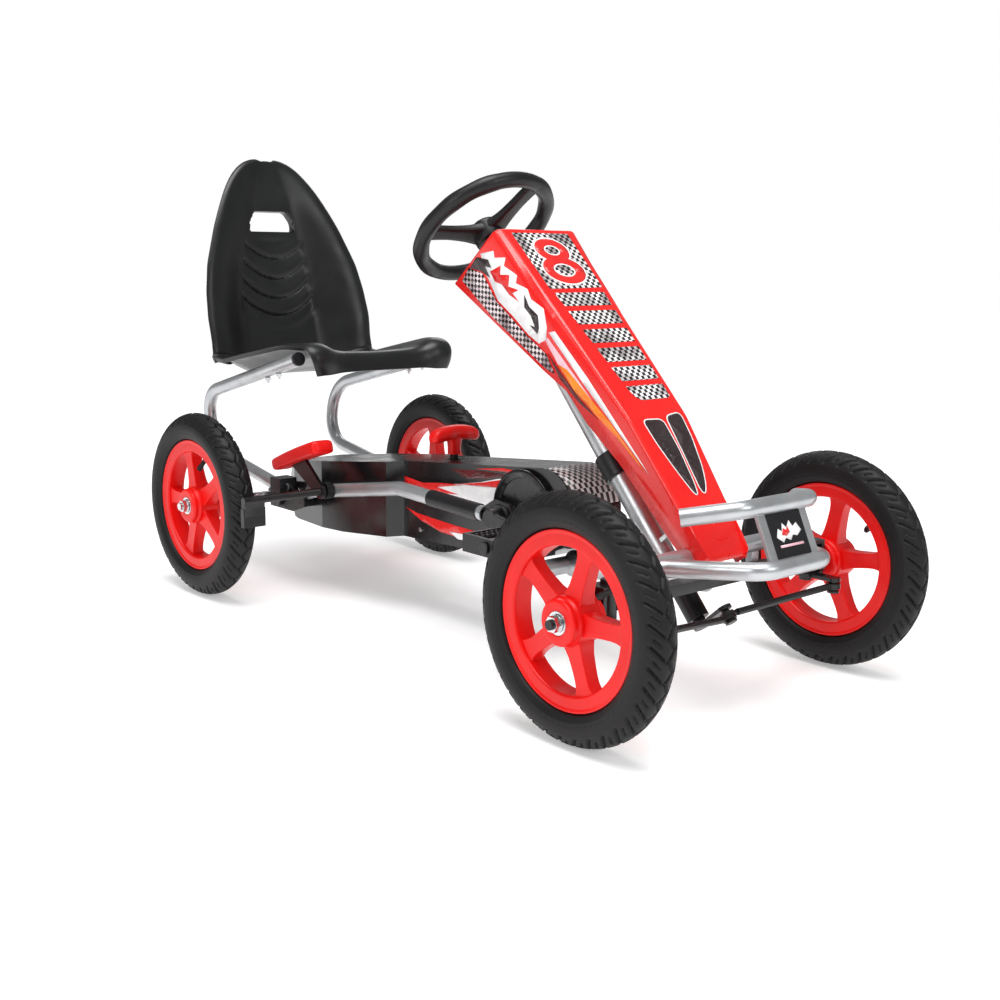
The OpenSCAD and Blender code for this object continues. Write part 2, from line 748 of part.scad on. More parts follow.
module pedal_body() {
    l = pedal_l / 2;
    h = pedal_h / 2;
    color("#1c1c1e") difference() {
        union() {
            rod_y(0, pedal_in, pedal_in + pedal_w, 0, 22);
            for (y = [pedal_in, pedal_in + pedal_w - 5])
                translate([-l, y, -h]) cube([2 * l, 5, 2 * h]);
            for (x = [-l, l - 6]) translate([x, pedal_in, -h]) cube([6, pedal_w, 2 * h]);
            for (x = [-l / 2 - 3, l / 2 - 3])
                translate([x, pedal_in, -h + 4]) cube([6, pedal_w, 2 * h - 8]);
        }
        rod_y(0, pedal_in - 1, pedal_in + pedal_w + 1, 0, 12 + 2 * fit);
    }
}

module pedal_reflectors() {
    color("#ff7a18") for (x = [-pedal_l / 2 - 3, pedal_l / 2])
        translate([x, pedal_in + 16, -8]) cube([3, pedal_w - 32, 16]);
}

module at_right_pedal() {
    translate([crank_x + crank_len * cos(pedal_tilt), 0, crank_z - crank_len * sin(pedal_tilt)])
        mirror([0, 1, 0]) children();
}
module at_left_pedal() {
    translate([crank_x - crank_len * cos(pedal_tilt), 0, crank_z + crank_len * sin(pedal_tilt)])
        children();
}
module pedal_right() at_right_pedal() pedal_body();
module pedal_left() at_left_pedal() pedal_body();
module pedal_right_reflectors() at_right_pedal() pedal_reflectors();
module pedal_left_reflectors() at_left_pedal() pedal_reflectors();

// ---------- seat ----------

module seat_tube_line() {
    bent_tube([seat_front, seat_back, seat_foot, seat_end], seat_tube_d, tube_wall,
        seat_bend_r);
}

module seat_tubes() {
    color("silver") both_sides() seat_tube_line();
}

module seat_tube_plugs() {
    way = unit(seat_front - seat_back);
    color("#171719") both_sides() along(seat_front, seat_front + way) {
        cylinder(h = 5, d = seat_tube_d);
        translate([0, 0, -12]) cylinder(h = 13, d = seat_tube_d - 2 * tube_wall);
    }
}

module seat_bolts() {
    way = unit(seat_back - seat_front);
    color("silver") both_sides() for (t = [62, 100]) {
        p = seat_front + t * way;
        translate([p[0], p[1], p[2] - seat_tube_d / 2 - 9]) cylinder(h = 9, d = 5);
        translate([p[0], p[1], p[2] - seat_tube_d / 2 - 5]) cylinder(h = 4.6, d = 10, $fn = 6);
    }
}

module seat_clamps() {
    x = seat_end[0];
    color("#1d1d1f") both_sides() difference() {
        translate([x - 18, plate_y + plate_t, seat_end[2] - 16])
            cube([30, seat_low_y + seat_tube_d / 2 + 3 - plate_y - plate_t, 34]);
        along(seat_end + 60 * unit(seat_foot - seat_end),
            seat_end - 60 * unit(seat_foot - seat_end))
            cylinder(h = 120, d = seat_tube_d + 2 * fit);
    }
}

// Middle line of the seat from the front lip over the pan to the top: station, x, z
seat_line = [
    [0, -246, 376], [1, -252, 402], [2, -300, 387], [3, -400, 364], [4, -470, 346],
    [5, -520, 346], [6, -548, 392], [7, -566, 480], [8, -579, 580], [9, -590, 670],
    [10, -595, 720]
];
seat_half = [[0, 131], [1, 131], [2, 152], [3, 158], [5, 162], [6.4, 164], [7, 154],
    [8, 118], [9, 72], [9.6, 44], [10, 12]];
seat_curl = [[0, 0], [1, 8], [2, 15], [5, 22], [6.4, 34], [8, 24], [9, 14], [10, 2]];
function seat_x(u) = rear_axle_x + 406 + lookup(u, [for (p = seat_line) [p[0], p[1]]]);
function seat_z(u) = let (z = lookup(u, [for (p = seat_line) [p[0], p[2]]]) + axle_z - 149)
    z + max(0, z - 430) * (seat_top - 720) / 290;
function seat_mid(u) = [seat_x(u), 0, seat_z(u)];
function seat_way(u) = unit(seat_mid(min(10, u + 0.25)) - seat_mid(max(0, u - 0.25)));
function seat_out(u) = let (w = seat_way(u)) [-w[2], 0, w[0]];
function seat_point(u, v, depth) = seat_mid(u) + [0, v * lookup(u, seat_half), 0]
    + seat_out(u) * (depth - pow(abs(v), 3) * lookup(u, seat_curl));

seat_rows = 30;
seat_cols = 12;
module seat_sheet() {
    stations = [for (i = [0:seat_rows]) 10 * i / seat_rows];
    across = [for (j = [0:seat_cols]) 2 * j / seat_cols - 1];
    n = seat_cols + 1;
    m = (seat_rows + 1) * n;
    pts = concat([for (u = stations) for (v = across) seat_point(u, v, 0)],
        [for (u = stations) for (v = across) seat_point(u, v, seat_wall)]);
    skin = [for (i = [0:seat_rows - 1]) for (j = [0:seat_cols - 1])
        let (a = i * n + j) each [[a, a + 1, a + n + 1], [a, a + n + 1, a + n]]];
    back = [for (f = skin) [f[2] + m, f[1] + m, f[0] + m]];
    ring = concat([for (j = [0:seat_cols - 1]) j],
        [for (i = [0:seat_rows - 1]) i * n + seat_cols],
        [for (j = [0:seat_cols - 1]) seat_rows * n + seat_cols - j],
        [for (i = [0:seat_rows - 1]) (seat_rows - i) * n]);
    side = [for (k = [0:len(ring) - 1]) let (a = ring[k], b = ring[(k + 1) % len(ring)])
        each [[a, a + m, b + m], [a, b + m, b]]];
    polyhedron(points = pts, faces = concat(skin, back, side));
}

module seat_shell() {
    color("#2b2b2e") difference() {
        seat_sheet();
        translate([seat_x(8.2) - 40, -46, seat_z(8.2) - 12]) cube([80, 92, 30]);
    }
}

// ---------- brake and selector ----------

grip_angle = 19;
module brake_lever() {
    y0 = rail_y + rail_d / 2 + 0.5;
    color("#1b1b1d") mirror([0, 1, 0]) difference() {
        union() {
            rod_y(brake_x, y0, wheel_y + 18, brake_z, 2 * brake_r);
            rod_y(brake_x, y0 + 16, y0 + 22, brake_z, 24);
            slab_y([[brake_x - 10, brake_z - 6], [brake_x + 10, brake_z + 6],
                [brake_x - 40, brake_z + 46], [brake_x - 80, brake_z + 32]],
                y0 + 16, y0 + 22);
            translate([brake_x - 7, wheel_y - 17, brake_z - 24]) cube([12, 34, 24]);
            translate([brake_x - 8, wheel_y - 20, brake_z - 42]) cube([10, 38, 30]);
        }
    }
}

module brake_grip() {
    y0 = rail_y + rail_d / 2 + 0.5;
    color("#f0342c") mirror([0, 1, 0]) difference() {
        translate([brake_x - 55, 0, brake_z + 52]) rotate([0, -grip_angle, 0])
            translate([-72, y0 - 2, -12]) cube([144, 42, 24]);
        slab_y([[brake_x - 10, brake_z - 6], [brake_x + 10, brake_z + 6],
            [brake_x - 40, brake_z + 46], [brake_x - 80, brake_z + 32]],
            y0 + 16, y0 + 22);
    }
}

module selector_lever() {
    color("#1a1a1c") translate(selector) {
        rod_y(0, -case_half + 6, case_half - 6, 0, 8);
        rod_y(0, -5, 5, 0, 18);
        translate([-5, -4, 0]) cube([10, 8, 52]);
    }
}

module selector_handle() {
    color("#f0342c") translate(selector) difference() {
        union() {
            translate([-7, -8, 46]) cube([14, 16, 34]);
            rod_y(0, -46, 46, 80, 20);
        }
        translate([-5, -4, 0]) cube([10, 8, 52]);
    }
}

main_spine();
front_cross_tube();
front_axle_beam();
side_rail_right();
side_rail_left();
rear_carrier();
crank_plates();
rail_guards();
frame_bolts();
steering_tube();
column_bushes();
fairing();
bumper_lower_hoop();
bumper_upper_hoop();
bumper_posts();
bumper_plate();
rear_cover_right();
rear_cover_left();
front_case_right();
front_case_left();
crank_discs();
chain();
seat_clamps();
seat_shell();
seat_tubes();
seat_tube_plugs();
seat_bolts();
steering_shaft();
steering_wheel();
tie_rod_right();
tie_rod_left();
knuckle_right();
knuckle_left();
front_right_tyre();
front_right_rim();
front_right_bearings();
front_right_nuts();
front_left_tyre();
front_left_rim();
front_left_bearings();
front_left_nuts();
rear_right_tyre();
rear_right_rim();
rear_right_hub_rings();
rear_left_tyre();
rear_left_rim();
rear_left_hub_rings();
rear_axle();
rear_axle_nuts();
rear_sprocket();
crank();
chainring();
pedal_right();
pedal_left();
pedal_right_reflectors();
pedal_left_reflectors();
brake_lever();
brake_grip();
selector_lever();
selector_handle();
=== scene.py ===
# %% [markdown]
# # A child's pedal go kart
# This lesson dresses the engineering model of a pedal go kart: a silver tube frame, a bucket
# seat, a chain case, four spoked wheels and a tall red fairing. The frame file gives the
# places of the joints and of the parts. The outlines of the seat, the fairing and the
# stickers are drawn as short tables of numbers. All lengths are metres unless a name or
# a comment says mm, +X is forward, +Y is the driver's left and +Z is up.

# %% Load the engineering model
import json
import math
import bpy
import bmesh
import mathutils
import numpy as np
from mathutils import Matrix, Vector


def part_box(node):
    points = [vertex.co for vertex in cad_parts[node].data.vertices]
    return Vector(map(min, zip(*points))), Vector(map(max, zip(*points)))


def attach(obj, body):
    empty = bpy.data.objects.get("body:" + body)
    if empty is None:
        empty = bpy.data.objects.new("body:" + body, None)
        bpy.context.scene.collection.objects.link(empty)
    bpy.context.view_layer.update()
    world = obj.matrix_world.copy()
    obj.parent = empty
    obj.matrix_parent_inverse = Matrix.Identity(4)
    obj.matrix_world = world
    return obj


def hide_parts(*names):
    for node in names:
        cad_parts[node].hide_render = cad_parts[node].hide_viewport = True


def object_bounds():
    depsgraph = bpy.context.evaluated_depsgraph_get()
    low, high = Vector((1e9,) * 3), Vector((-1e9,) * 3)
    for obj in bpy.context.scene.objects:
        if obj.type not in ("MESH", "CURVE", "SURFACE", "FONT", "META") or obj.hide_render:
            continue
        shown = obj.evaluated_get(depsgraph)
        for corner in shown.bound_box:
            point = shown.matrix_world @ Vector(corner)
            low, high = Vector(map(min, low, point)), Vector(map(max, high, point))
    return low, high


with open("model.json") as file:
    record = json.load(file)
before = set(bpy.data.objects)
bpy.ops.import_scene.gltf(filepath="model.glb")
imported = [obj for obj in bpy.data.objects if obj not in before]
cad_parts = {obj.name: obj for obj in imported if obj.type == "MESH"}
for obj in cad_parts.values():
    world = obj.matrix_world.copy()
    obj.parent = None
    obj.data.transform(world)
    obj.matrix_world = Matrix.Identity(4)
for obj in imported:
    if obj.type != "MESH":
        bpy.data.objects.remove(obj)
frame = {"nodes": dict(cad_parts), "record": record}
cad_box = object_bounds()
record = frame["record"]
body_of = {n: b for b, ns in record["behaviour"]["bodies"].items() for n in ns}
joint = {j["name"]: j for j in record["behaviour"]["joints"]}
print("nodes", len(body_of), "box", [[round(v, 3) for v in c] for c in cad_box])

# %% [markdown]
# ## Helpers for colour and for node trees
# Colours are written as the hex values a designer would read from a swatch. Blender works in
# linear light, so one function converts them. A second small function adds a shader node,
# sets its properties and joins its inputs, which keeps each finish down to a few lines.

# %% Colour and node helpers
def colour(text):
    """Each sRGB channel c becomes c / 12.92 if small, and ((c + 0.055) / 1.055) ^ 2.4 if not."""
    c = np.array([int(text[i:i + 2], 16) / 255 for i in (1, 3, 5)])
    return (*np.where(c < 0.04045, c / 12.92, ((c + 0.055) / 1.055) ** 2.4), 1.0)


def feed(tree, node, feeds):
    """Each named input of a node is joined to a socket, or set to a value."""
    for key, value in feeds.items():
        if isinstance(value, bpy.types.NodeSocket):
            tree.links.new(value, node.inputs[key])
        else:
            node.inputs[key].default_value = value


def add(tree, kind, feeds=None, **settings):
    """Adds one node, sets its properties and feeds its inputs."""
    n = tree.nodes.new("ShaderNode" + kind)
    for key, value in settings.items():
        setattr(n, key, value)
    feed(tree, n, feeds or {})
    return n


def ramp(tree, feed, stops):
    """A colour ramp through the given (place, hex colour) stops."""
    n = add(tree, "ValToRGB", {"Fac": feed})
    while len(n.color_ramp.elements) < len(stops):
        n.color_ramp.elements.new(0.5)
    for e, (at, c) in zip(n.color_ramp.elements, stops):
        e.position, e.color = at, colour(c)
    return n.outputs["Color"]


def start(name):
    """A new material: its tree, its Principled shader and its Object coordinates."""
    m = bpy.data.materials.new(name)
    m.use_nodes = True
    t = m.node_tree
    return m, t, t.nodes["Principled BSDF"], add(t, "TexCoord").outputs["Object"]


def finish(name, low, high, patch_mm, grain_mm, depth_mm, rough, spread=0.08, **sockets):
    """A solid finish. Broad noise drifts the colour between low and high, finer noise moves the
    roughness by spread round rough, and grain of the given size in mm raises the surface."""
    m, t, bsdf, place = start(name)
    broad = add(t, "TexNoise", {"Vector": place, "Scale": 1000 / patch_mm, "Detail": 3.0})
    smear = add(t, "TexNoise", {"Vector": place, "Scale": 1000 / (patch_mm * 0.35), "Detail": 4.0})
    r = add(t, "MapRange", {"Value": smear.outputs["Fac"], "From Min": 0.3, "From Max": 0.7,
                            "To Min": rough - spread, "To Max": rough + spread})
    grain = add(t, "TexNoise", {"Vector": place, "Scale": 1000 / grain_mm, "Detail": 2.0})
    bump = add(t, "Bump", {"Height": grain.outputs["Fac"], "Distance": depth_mm / 1000,
                           "Strength": 1.0})
    feed(t, bsdf, {"Base Color": ramp(t, broad.outputs["Fac"], [(0.3, low), (0.7, high)]),
                   "Roughness": r.outputs["Result"], "Normal": bump.outputs["Normal"],
                   **{key.replace("_", " "): value for key, value in sockets.items()}})
    return m


# %% [markdown]
# ## The finishes
# The kart's red parts are moulded ABS: glossy, with a faint orange-peel from the mould. The
# chain case is black ABS polished enough to mirror the room. The seat, steering wheel and
# pedals are polypropylene with a fine spark-eroded texture, so they stay satin. Tubes wear a
# silver powder coat, whose flakes give a soft metallic sheen with a pebbled skin about half a
# millimetre across. Nuts and washers are bright zinc, and the tyres are carbon-black rubber.

# %% Plastics, paint, rubber and metal
RED = finish("moulded_red_abs", "#E60E0A", "#F01812", 90, 2.5, 0.02, 0.27, 0.05,
             IOR=1.52, Coat_Weight=0.25, Coat_Roughness=0.12)
RIM_RED = finish("moulded_red_polypropylene", "#E20A08", "#EE1410", 60, 1.6, 0.03, 0.36, 0.06,
                 IOR=1.49, Specular_IOR_Level=0.35)
GLOSS_BLACK = finish("polished_black_abs", "#060607", "#0B0B0D", 120, 3.0, 0.008, 0.24, 0.06,
                     IOR=1.5, Coat_Weight=0.1, Coat_Roughness=0.12)
SATIN_BLACK = finish("spark_textured_black_polypropylene", "#111113", "#19191C", 70, 0.9, 0.05,
                     0.36, 0.07, IOR=1.49, Specular_IOR_Level=0.38)
SEAT_BLACK = finish("blow_moulded_charcoal_polyethylene", "#121314", "#1A1B1C", 110, 1.1, 0.05,
                    0.34, 0.06, IOR=1.5, Specular_IOR_Level=0.4)
BLACK_PAINT = finish("black_powder_coat", "#0A0A0B", "#121213", 50, 0.7, 0.05, 0.33, 0.07,
                     IOR=1.5)
SILVER = finish("silver_powder_coat", "#B7BABD", "#CACCCE", 45, 0.6, 0.035, 0.34, 0.06,
                Metallic=0.82)
ZINC = finish("bright_zinc_plate", "#C9CBCE", "#DEDFE0", 12, 0.4, 0.01, 0.2, 0.07, Metallic=1.0)
CHAIN_STEEL = finish("oiled_chain_steel", "#5A5854", "#787571", 9, 0.5, 0.03, 0.38, 0.1,
                     Metallic=1.0)
GRIP_RUBBER = finish("black_elastomer_grip", "#0C0C0D", "#131314", 30, 0.8, 0.06, 0.5, 0.07,
                     IOR=1.52, Specular_IOR_Level=0.35)
print("finishes", [m.name for m in bpy.data.materials])


# %% [markdown]
# ## Helpers for surfaces
# Most new pieces are a grid of points worked out as one numpy array: either a profile turned
# round an axis, or a ring carried along a path. `grid` turns such an array into faces, and
# `build` joins grids into one mesh, rides it on its body and hides the plain part it stands for.

# %% Grids, paths and the mesh builder
def grid(P, close_u=False, close_v=False):
    """Faces between neighbours of P[u, v], and for each corner its (u, v) share of the way."""
    nu, nv = P.shape[:2]
    mu, mv = nu - (not close_u), nv - (not close_v)
    i, j = (a.ravel() for a in np.meshgrid(np.arange(mu), np.arange(mv), indexing="ij"))
    ci = np.stack([i, i + 1, i + 1, i], 1)
    cj = np.stack([j, j, j + 1, j + 1], 1)
    uv = np.stack([ci / mu, cj / mv], 2)
    return P.reshape(-1, 3), (ci % nu) * nv + cj % nv, uv


def lid(points, flip=False):
    """One many-sided face over a closed ring of points."""
    F = np.arange(len(points))[None]
    return np.asarray(points), F[:, ::-1] if flip else F, np.zeros((1, len(points), 2))


def build(name, parts, body, material, replaces=(), sharp=34, weld=True):
    """One object from several grids. Edges that turn by more than sharp degrees stay crisp."""
    V = np.concatenate([p[0] for p in parts])
    first = np.cumsum([0] + [len(p[0]) for p in parts[:-1]])
    loops = np.concatenate([(p[1] + k).ravel() for p, k in zip(parts, first)])
    sides = np.concatenate([np.full(len(p[1]), p[1].shape[1]) for p in parts])
    me = bpy.data.meshes.new(name)
    me.vertices.add(len(V))
    me.vertices.foreach_set("co", V.astype(np.float32).ravel())
    me.loops.add(len(loops))
    me.loops.foreach_set("vertex_index", loops.astype(np.int32))
    me.polygons.add(len(sides))
    me.polygons.foreach_set("loop_start", (np.cumsum(sides) - sides).astype(np.int32))
    me.update(calc_edges=True)
    uv = me.uv_layers.new(name="way").data
    shares = np.concatenate([p[2].reshape(-1, 2) for p in parts])
    uv.foreach_set("uv", shares.astype(np.float32).ravel())
    if weld:
        bm = bmesh.new()
        bm.from_mesh(me)
        bmesh.ops.remove_doubles(bm, verts=bm.verts, dist=2e-6)
        bmesh.ops.recalc_face_normals(bm, faces=bm.faces)
        bm.to_mesh(me)
        bm.free()
    return wear(bpy.data.objects.new(name, me), body, material, replaces, sharp)


def wear(obj, body, material, replaces=(), sharp=34):
    """Shades a mesh smooth but for its crisp edges, and hands it to its body."""
    me = obj.data
    me.polygons.foreach_set("use_smooth", np.ones(len(me.polygons), bool))
    me.set_sharp_from_angle(angle=math.radians(sharp))
    me.materials.clear()
    me.materials.append(material)
    bpy.context.scene.collection.objects.link(obj)
    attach(obj, body)
    if replaces:
        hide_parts(*replaces)
    return obj


def unit(v):
    """Each vector divided by its own length."""
    v = np.asarray(v, float)
    return v / np.linalg.norm(v, axis=-1, keepdims=True)


def rounded_path(points, radius, steps=14):
    """Straight runs joined by arcs: at each inner point, the arc that touches both runs."""
    P = [np.asarray(p, float) for p in points]
    out = [P[0]]
    for a, b, c in zip(P[:-2], P[1:-1], P[2:]):
        u, w = unit(a - b), unit(c - b)
        t = math.acos(float(np.clip(-u @ w, -1, 1)))
        cen = b + unit(u + w) * radius / math.cos(t / 2)
        p, q = b + u * radius * math.tan(t / 2) - cen, b + w * radius * math.tan(t / 2) - cen
        f = np.linspace(0, 1, steps)[:, None]
        out.extend(cen + (np.sin((1 - f) * t) * p + np.sin(f * t) * q) / math.sin(t))
    return np.array(out + [P[-1]])


def carried(path, rings, ref, n=28):
    """A tube: at path point k and radius r, the ring centre + r (cos a N + sin a B), where N is
    ref made square to the path and B is square to both. Rings is a list of (k, r)."""
    T = unit(np.gradient(path, axis=0))
    ref = np.asarray(ref, float)
    N = unit(ref - (T @ ref)[:, None] * T)
    B = np.cross(T, N)
    k = np.array([r[0] for r in rings])
    r = np.array([r[1] for r in rings])[:, None, None]
    a = np.linspace(0, 2 * np.pi, n, endpoint=False)[None, :, None]
    return path[k][:, None] + r * (np.cos(a) * N[k][:, None] + np.sin(a) * B[k][:, None])


def pipe(path, radius, ref, wall, n=28):
    """A tube with a wall, along a path: up its outside and back down its bore."""
    k = list(range(len(path)))
    rings = [(i, radius) for i in k] + [(i, radius - wall) for i in k[::-1]]
    return grid(carried(path, rings, ref, n), close_u=True, close_v=True)


def turned(profile, n=64):
    """A profile of (radius, height along Y) turned about the Y axis: (r cos a, y, r sin a)."""
    p = np.asarray(profile, float)
    a = np.linspace(0, 2 * np.pi, n, endpoint=False)[:, None]
    P = np.stack([p[:, 0] * np.cos(a), p[:, 1] + 0 * a, p[:, 0] * np.sin(a)], 2)
    return grid(P, close_u=True, close_v=True)


def moved(part, R=np.eye(3), to=(0, 0, 0)):
    """A part turned by the rows of R and then carried to a place."""
    return part[0] @ np.asarray(R, float) + np.asarray(to, float), part[1], part[2]


def softened(profile, r, steps=4):
    """A closed outline with each corner cut by a small curve that starts r before it."""
    P = np.asarray(profile, float)
    a, b = np.roll(P, 1, 0), np.roll(P, -1, 0)
    la = np.minimum(r, 0.45 * np.linalg.norm(a - P, axis=1))[:, None]
    lb = np.minimum(r, 0.45 * np.linalg.norm(b - P, axis=1))[:, None]
    p, q = P + unit(a - P) * la, P + unit(b - P) * lb
    f = np.linspace(0, 1, steps)[None, :, None]
    return ((1 - f) ** 2 * p[:, None] + 2 * f * (1 - f) * P[:, None] + f ** 2 * q[:, None]
            ).reshape(-1, P.shape[1])


print("helpers ready")

# %% [markdown]
# ## Parts that keep their engineering shape
# Brackets, clamps, cases and knuckles already have the right form, but their edges are knife
# sharp, and no moulded or welded part is. A copy of the part is merged, its flat faces are
# joined, and a small bevel is added where faces meet, which catches the light as a real edge
# does. The plain part is then hidden behind the copy.

# %% Copies with rounded edges
def eased(node, material, edge_mm, sharp=34, flat=0.6, segments=2):
    """A copy of a part with its doubles merged, its flats joined and its edges bevelled."""
    me = frame["nodes"][node].data.copy()
    me.name = node + "_eased"
    bm = bmesh.new()
    bm.from_mesh(me)
    bmesh.ops.remove_doubles(bm, verts=bm.verts, dist=5e-6)
    bmesh.ops.dissolve_limit(bm, angle_limit=math.radians(flat), verts=bm.verts, edges=bm.edges)
    bm.to_mesh(me)
    bm.free()
    obj = wear(bpy.data.objects.new(node + "_eased", me), body_of[node], material,
               (node,), sharp)
    b = obj.modifiers.new("edge", "BEVEL")
    b.width, b.segments, b.limit_method = edge_mm / 1000, segments, "ANGLE"
    b.angle_limit, b.harden_normals = math.radians(sharp), True
    return obj


for node, material, edge in [
        ("crank_plates", BLACK_PAINT, 0.8), ("rear_carrier", BLACK_PAINT, 0.8),
        ("front_axle_beam", BLACK_PAINT, 0.8), ("knuckle_right", BLACK_PAINT, 0.6),
        ("knuckle_left", BLACK_PAINT, 0.6), ("seat_clamps", SATIN_BLACK, 1.2),
        ("column_bushes", SATIN_BLACK, 0.8), ("bumper_posts", SILVER, 0.5),
        ("bumper_plate", SATIN_BLACK, 0.6), ("brake_lever", BLACK_PAINT, 1.0),
        ("selector_lever", BLACK_PAINT, 0.6), ("crank", BLACK_PAINT, 1.5),
        ("tie_rod_right", BLACK_PAINT, 0.5), ("tie_rod_left", BLACK_PAINT, 0.5),
        ("rail_guards", SATIN_BLACK, 0.4), ("seat_tube_plugs", SATIN_BLACK, 0.8)]:
    eased(node, material, edge)
for node, material in [
        ("front_cross_tube", SILVER), ("main_spine", SILVER), ("steering_tube", SILVER),
        ("steering_shaft", BLACK_PAINT), ("rear_axle", ZINC), ("chain", CHAIN_STEEL),
        ("rear_sprocket", CHAIN_STEEL), ("chainring", CHAIN_STEEL),
        ("front_right_bearings", ZINC), ("front_left_bearings", ZINC),
        ("rear_right_hub_rings", ZINC), ("rear_left_hub_rings", ZINC), ("frame_bolts", ZINC),
        ("seat_bolts", ZINC), ("front_right_nuts", ZINC), ("front_left_nuts", ZINC),
        ("rear_axle_nuts", ZINC)]:
    eased(node, material, 0.4)

# %% [markdown]
# ## Tyres
# The tyres are small pneumatic ones: a round carcass with a zigzag groove round the crown,
# slanted cuts over both shoulders and a raised bead line on each wall. One grid makes the
# whole tyre. It runs round the wheel and round the section, and the grooves are pushed in by
# a rule in those two directions, so the tread follows the tyre exactly.

# %% Tyre rubber, with its moulded pips and bead lines
def tyre_rubber():
    """Carbon-black rubber. The way map's u goes round the wheel and v round the section; rows of
    1.4 mm pips lie on the wall at two heights, and dust lightens the wall a little."""
    m, t, bsdf, place = start("carbon_black_tyre_rubber")
    way = add(t, "TexCoord").outputs["UV"]
    broad = add(t, "TexNoise", {"Vector": place, "Scale": 22.0, "Detail": 4.0})
    r = add(t, "MapRange", {"Value": broad.outputs["Fac"], "To Min": 0.42, "To Max": 0.62})
    axes = add(t, "SeparateXYZ", {"Vector": way})
    near = add(t, "Math", {0: axes.outputs["X"], 1: 72.0}, operation="MULTIPLY")
    frac = add(t, "Math", {0: near.outputs[0]}, operation="FRACT")
    du = add(t, "Math", {0: frac.outputs[0], 1: 0.5}, operation="SUBTRACT")
    du = add(t, "Math", {0: du.outputs[0], 1: 9.4}, operation="MULTIPLY")
    tall = add(t, "Math", {0: axes.outputs["Y"], 1: 0.41}, operation="SUBTRACT")
    tall = add(t, "Math", {0: tall.outputs[0]}, operation="ABSOLUTE")
    tall = add(t, "Math", {0: tall.outputs[0], 1: 0.33}, operation="SUBTRACT")
    dv = add(t, "Math", {0: tall.outputs[0], 1: 160.0}, operation="MULTIPLY")
    both = add(t, "CombineXYZ", {"X": du.outputs[0], "Y": dv.outputs[0]})
    far = add(t, "VectorMath", {0: both.outputs[0]}, operation="LENGTH")
    pip = add(t, "MapRange", {"Value": far.outputs["Value"], "From Min": 0.5, "From Max": 1.1,
                              "To Min": 1.0, "To Max": 0.0})
    grain = add(t, "TexNoise", {"Vector": place, "Scale": 900.0, "Detail": 2.0})
    fine = add(t, "Math", {0: grain.outputs["Fac"], 1: 0.12}, operation="MULTIPLY")
    high = add(t, "Math", {0: pip.outputs["Result"], 1: fine.outputs[0]}, operation="ADD")
    bump = add(t, "Bump", {"Height": high.outputs[0], "Distance": 0.0006, "Strength": 1.0})
    dark = ramp(t, broad.outputs["Fac"], [(0.35, "#0B0B0C"), (0.7, "#131315")])
    feed(t, bsdf, {"Base Color": dark, "Roughness": r.outputs["Result"],
                   "Normal": bump.outputs["Normal"], "Specular IOR Level": 0.3})
    return m


TYRE = tyre_rubber()

# %% Tyre and rim grids
def tyre_grid(n=600, blocks=36):
    """Section: an ellipse 25 by 23.5 mm about the radius 124 mm, closed by the two beads and an
    inner ellipse. Round it, point i stands at the angle 2 pi i / n. Y is the way over the
    section in mm, and q counts the tread blocks. Grooves are sunk up to 3.2 mm, where
    |Y - 4 tri(q)| < 2.3 for the zigzag, and along the slanted cuts over both shoulders."""
    t = np.radians(np.linspace(-130, 130, 79))
    mid, a, b = 0.124, 0.025, 0.0235
    outer = np.stack([mid + a * np.cos(t), b * np.sin(t)], 1)
    ti = t[::-4]
    inner = np.stack([mid + 0.021 * np.cos(ti), (b - 0.004) * np.sin(ti)], 1)
    foot = [(0.107, 0.0113), (0.0985, 0.0102), (0.0985, 0.006), (0.106, 0.006)]
    prof = np.concatenate([outer, foot, inner, [(r, -y) for r, y in foot[::-1]]])
    phi = np.linspace(0, 2 * np.pi, n, endpoint=False)[:, None]
    Y = 24 * t[None]
    q = phi * blocks / (2 * np.pi)
    tri = 2 * np.abs(2 * (q % 1) - 1) - 1

    def cut(distance, half):
        """The sunk share: 1 on the line of a cut, and 0 half a cut's width away."""
        return np.clip(1 - np.abs(distance) / half, 0, 1) ** 0.5

    crown = cut(Y - 4.0 * tri, 2.3)
    side = np.sign(Y) + (Y == 0)
    out = np.abs(Y)
    lean = (q + 0.25 * side - out * 0.034 + 0.5) % 1 - 0.5
    slash = cut(lean * 26, 2.7) * np.clip((out - 6.5) / 2, 0, 1) * np.clip((29 - out) / 3, 0, 1)
    nick = cut(((lean + 1) % 1 - 0.5) * 26, 1.6) * np.clip((out - 12) / 2, 0, 1)
    nick = nick * np.clip((24 - out) / 2, 0, 1)
    ring = np.exp(-((out - 46) / 0.9) ** 2) + 0.7 * np.exp(-((out - 31) / 0.8) ** 2)
    sink = 0.0032 * np.maximum(np.maximum(crown, slash), 0.7 * nick) - 0.0005 * ring
    R = np.broadcast_to(prof[:, 0], (n, len(prof))).copy()
    H = np.broadcast_to(prof[:, 1], (n, len(prof))).copy()
    k = len(t)
    R[:, :k] -= sink * np.cos(t)[None]
    H[:, :k] -= sink * np.sin(t)[None]
    P = np.stack([R * np.cos(phi), H, R * np.sin(phi)], 2)
    return grid(P, close_u=True, close_v=True)


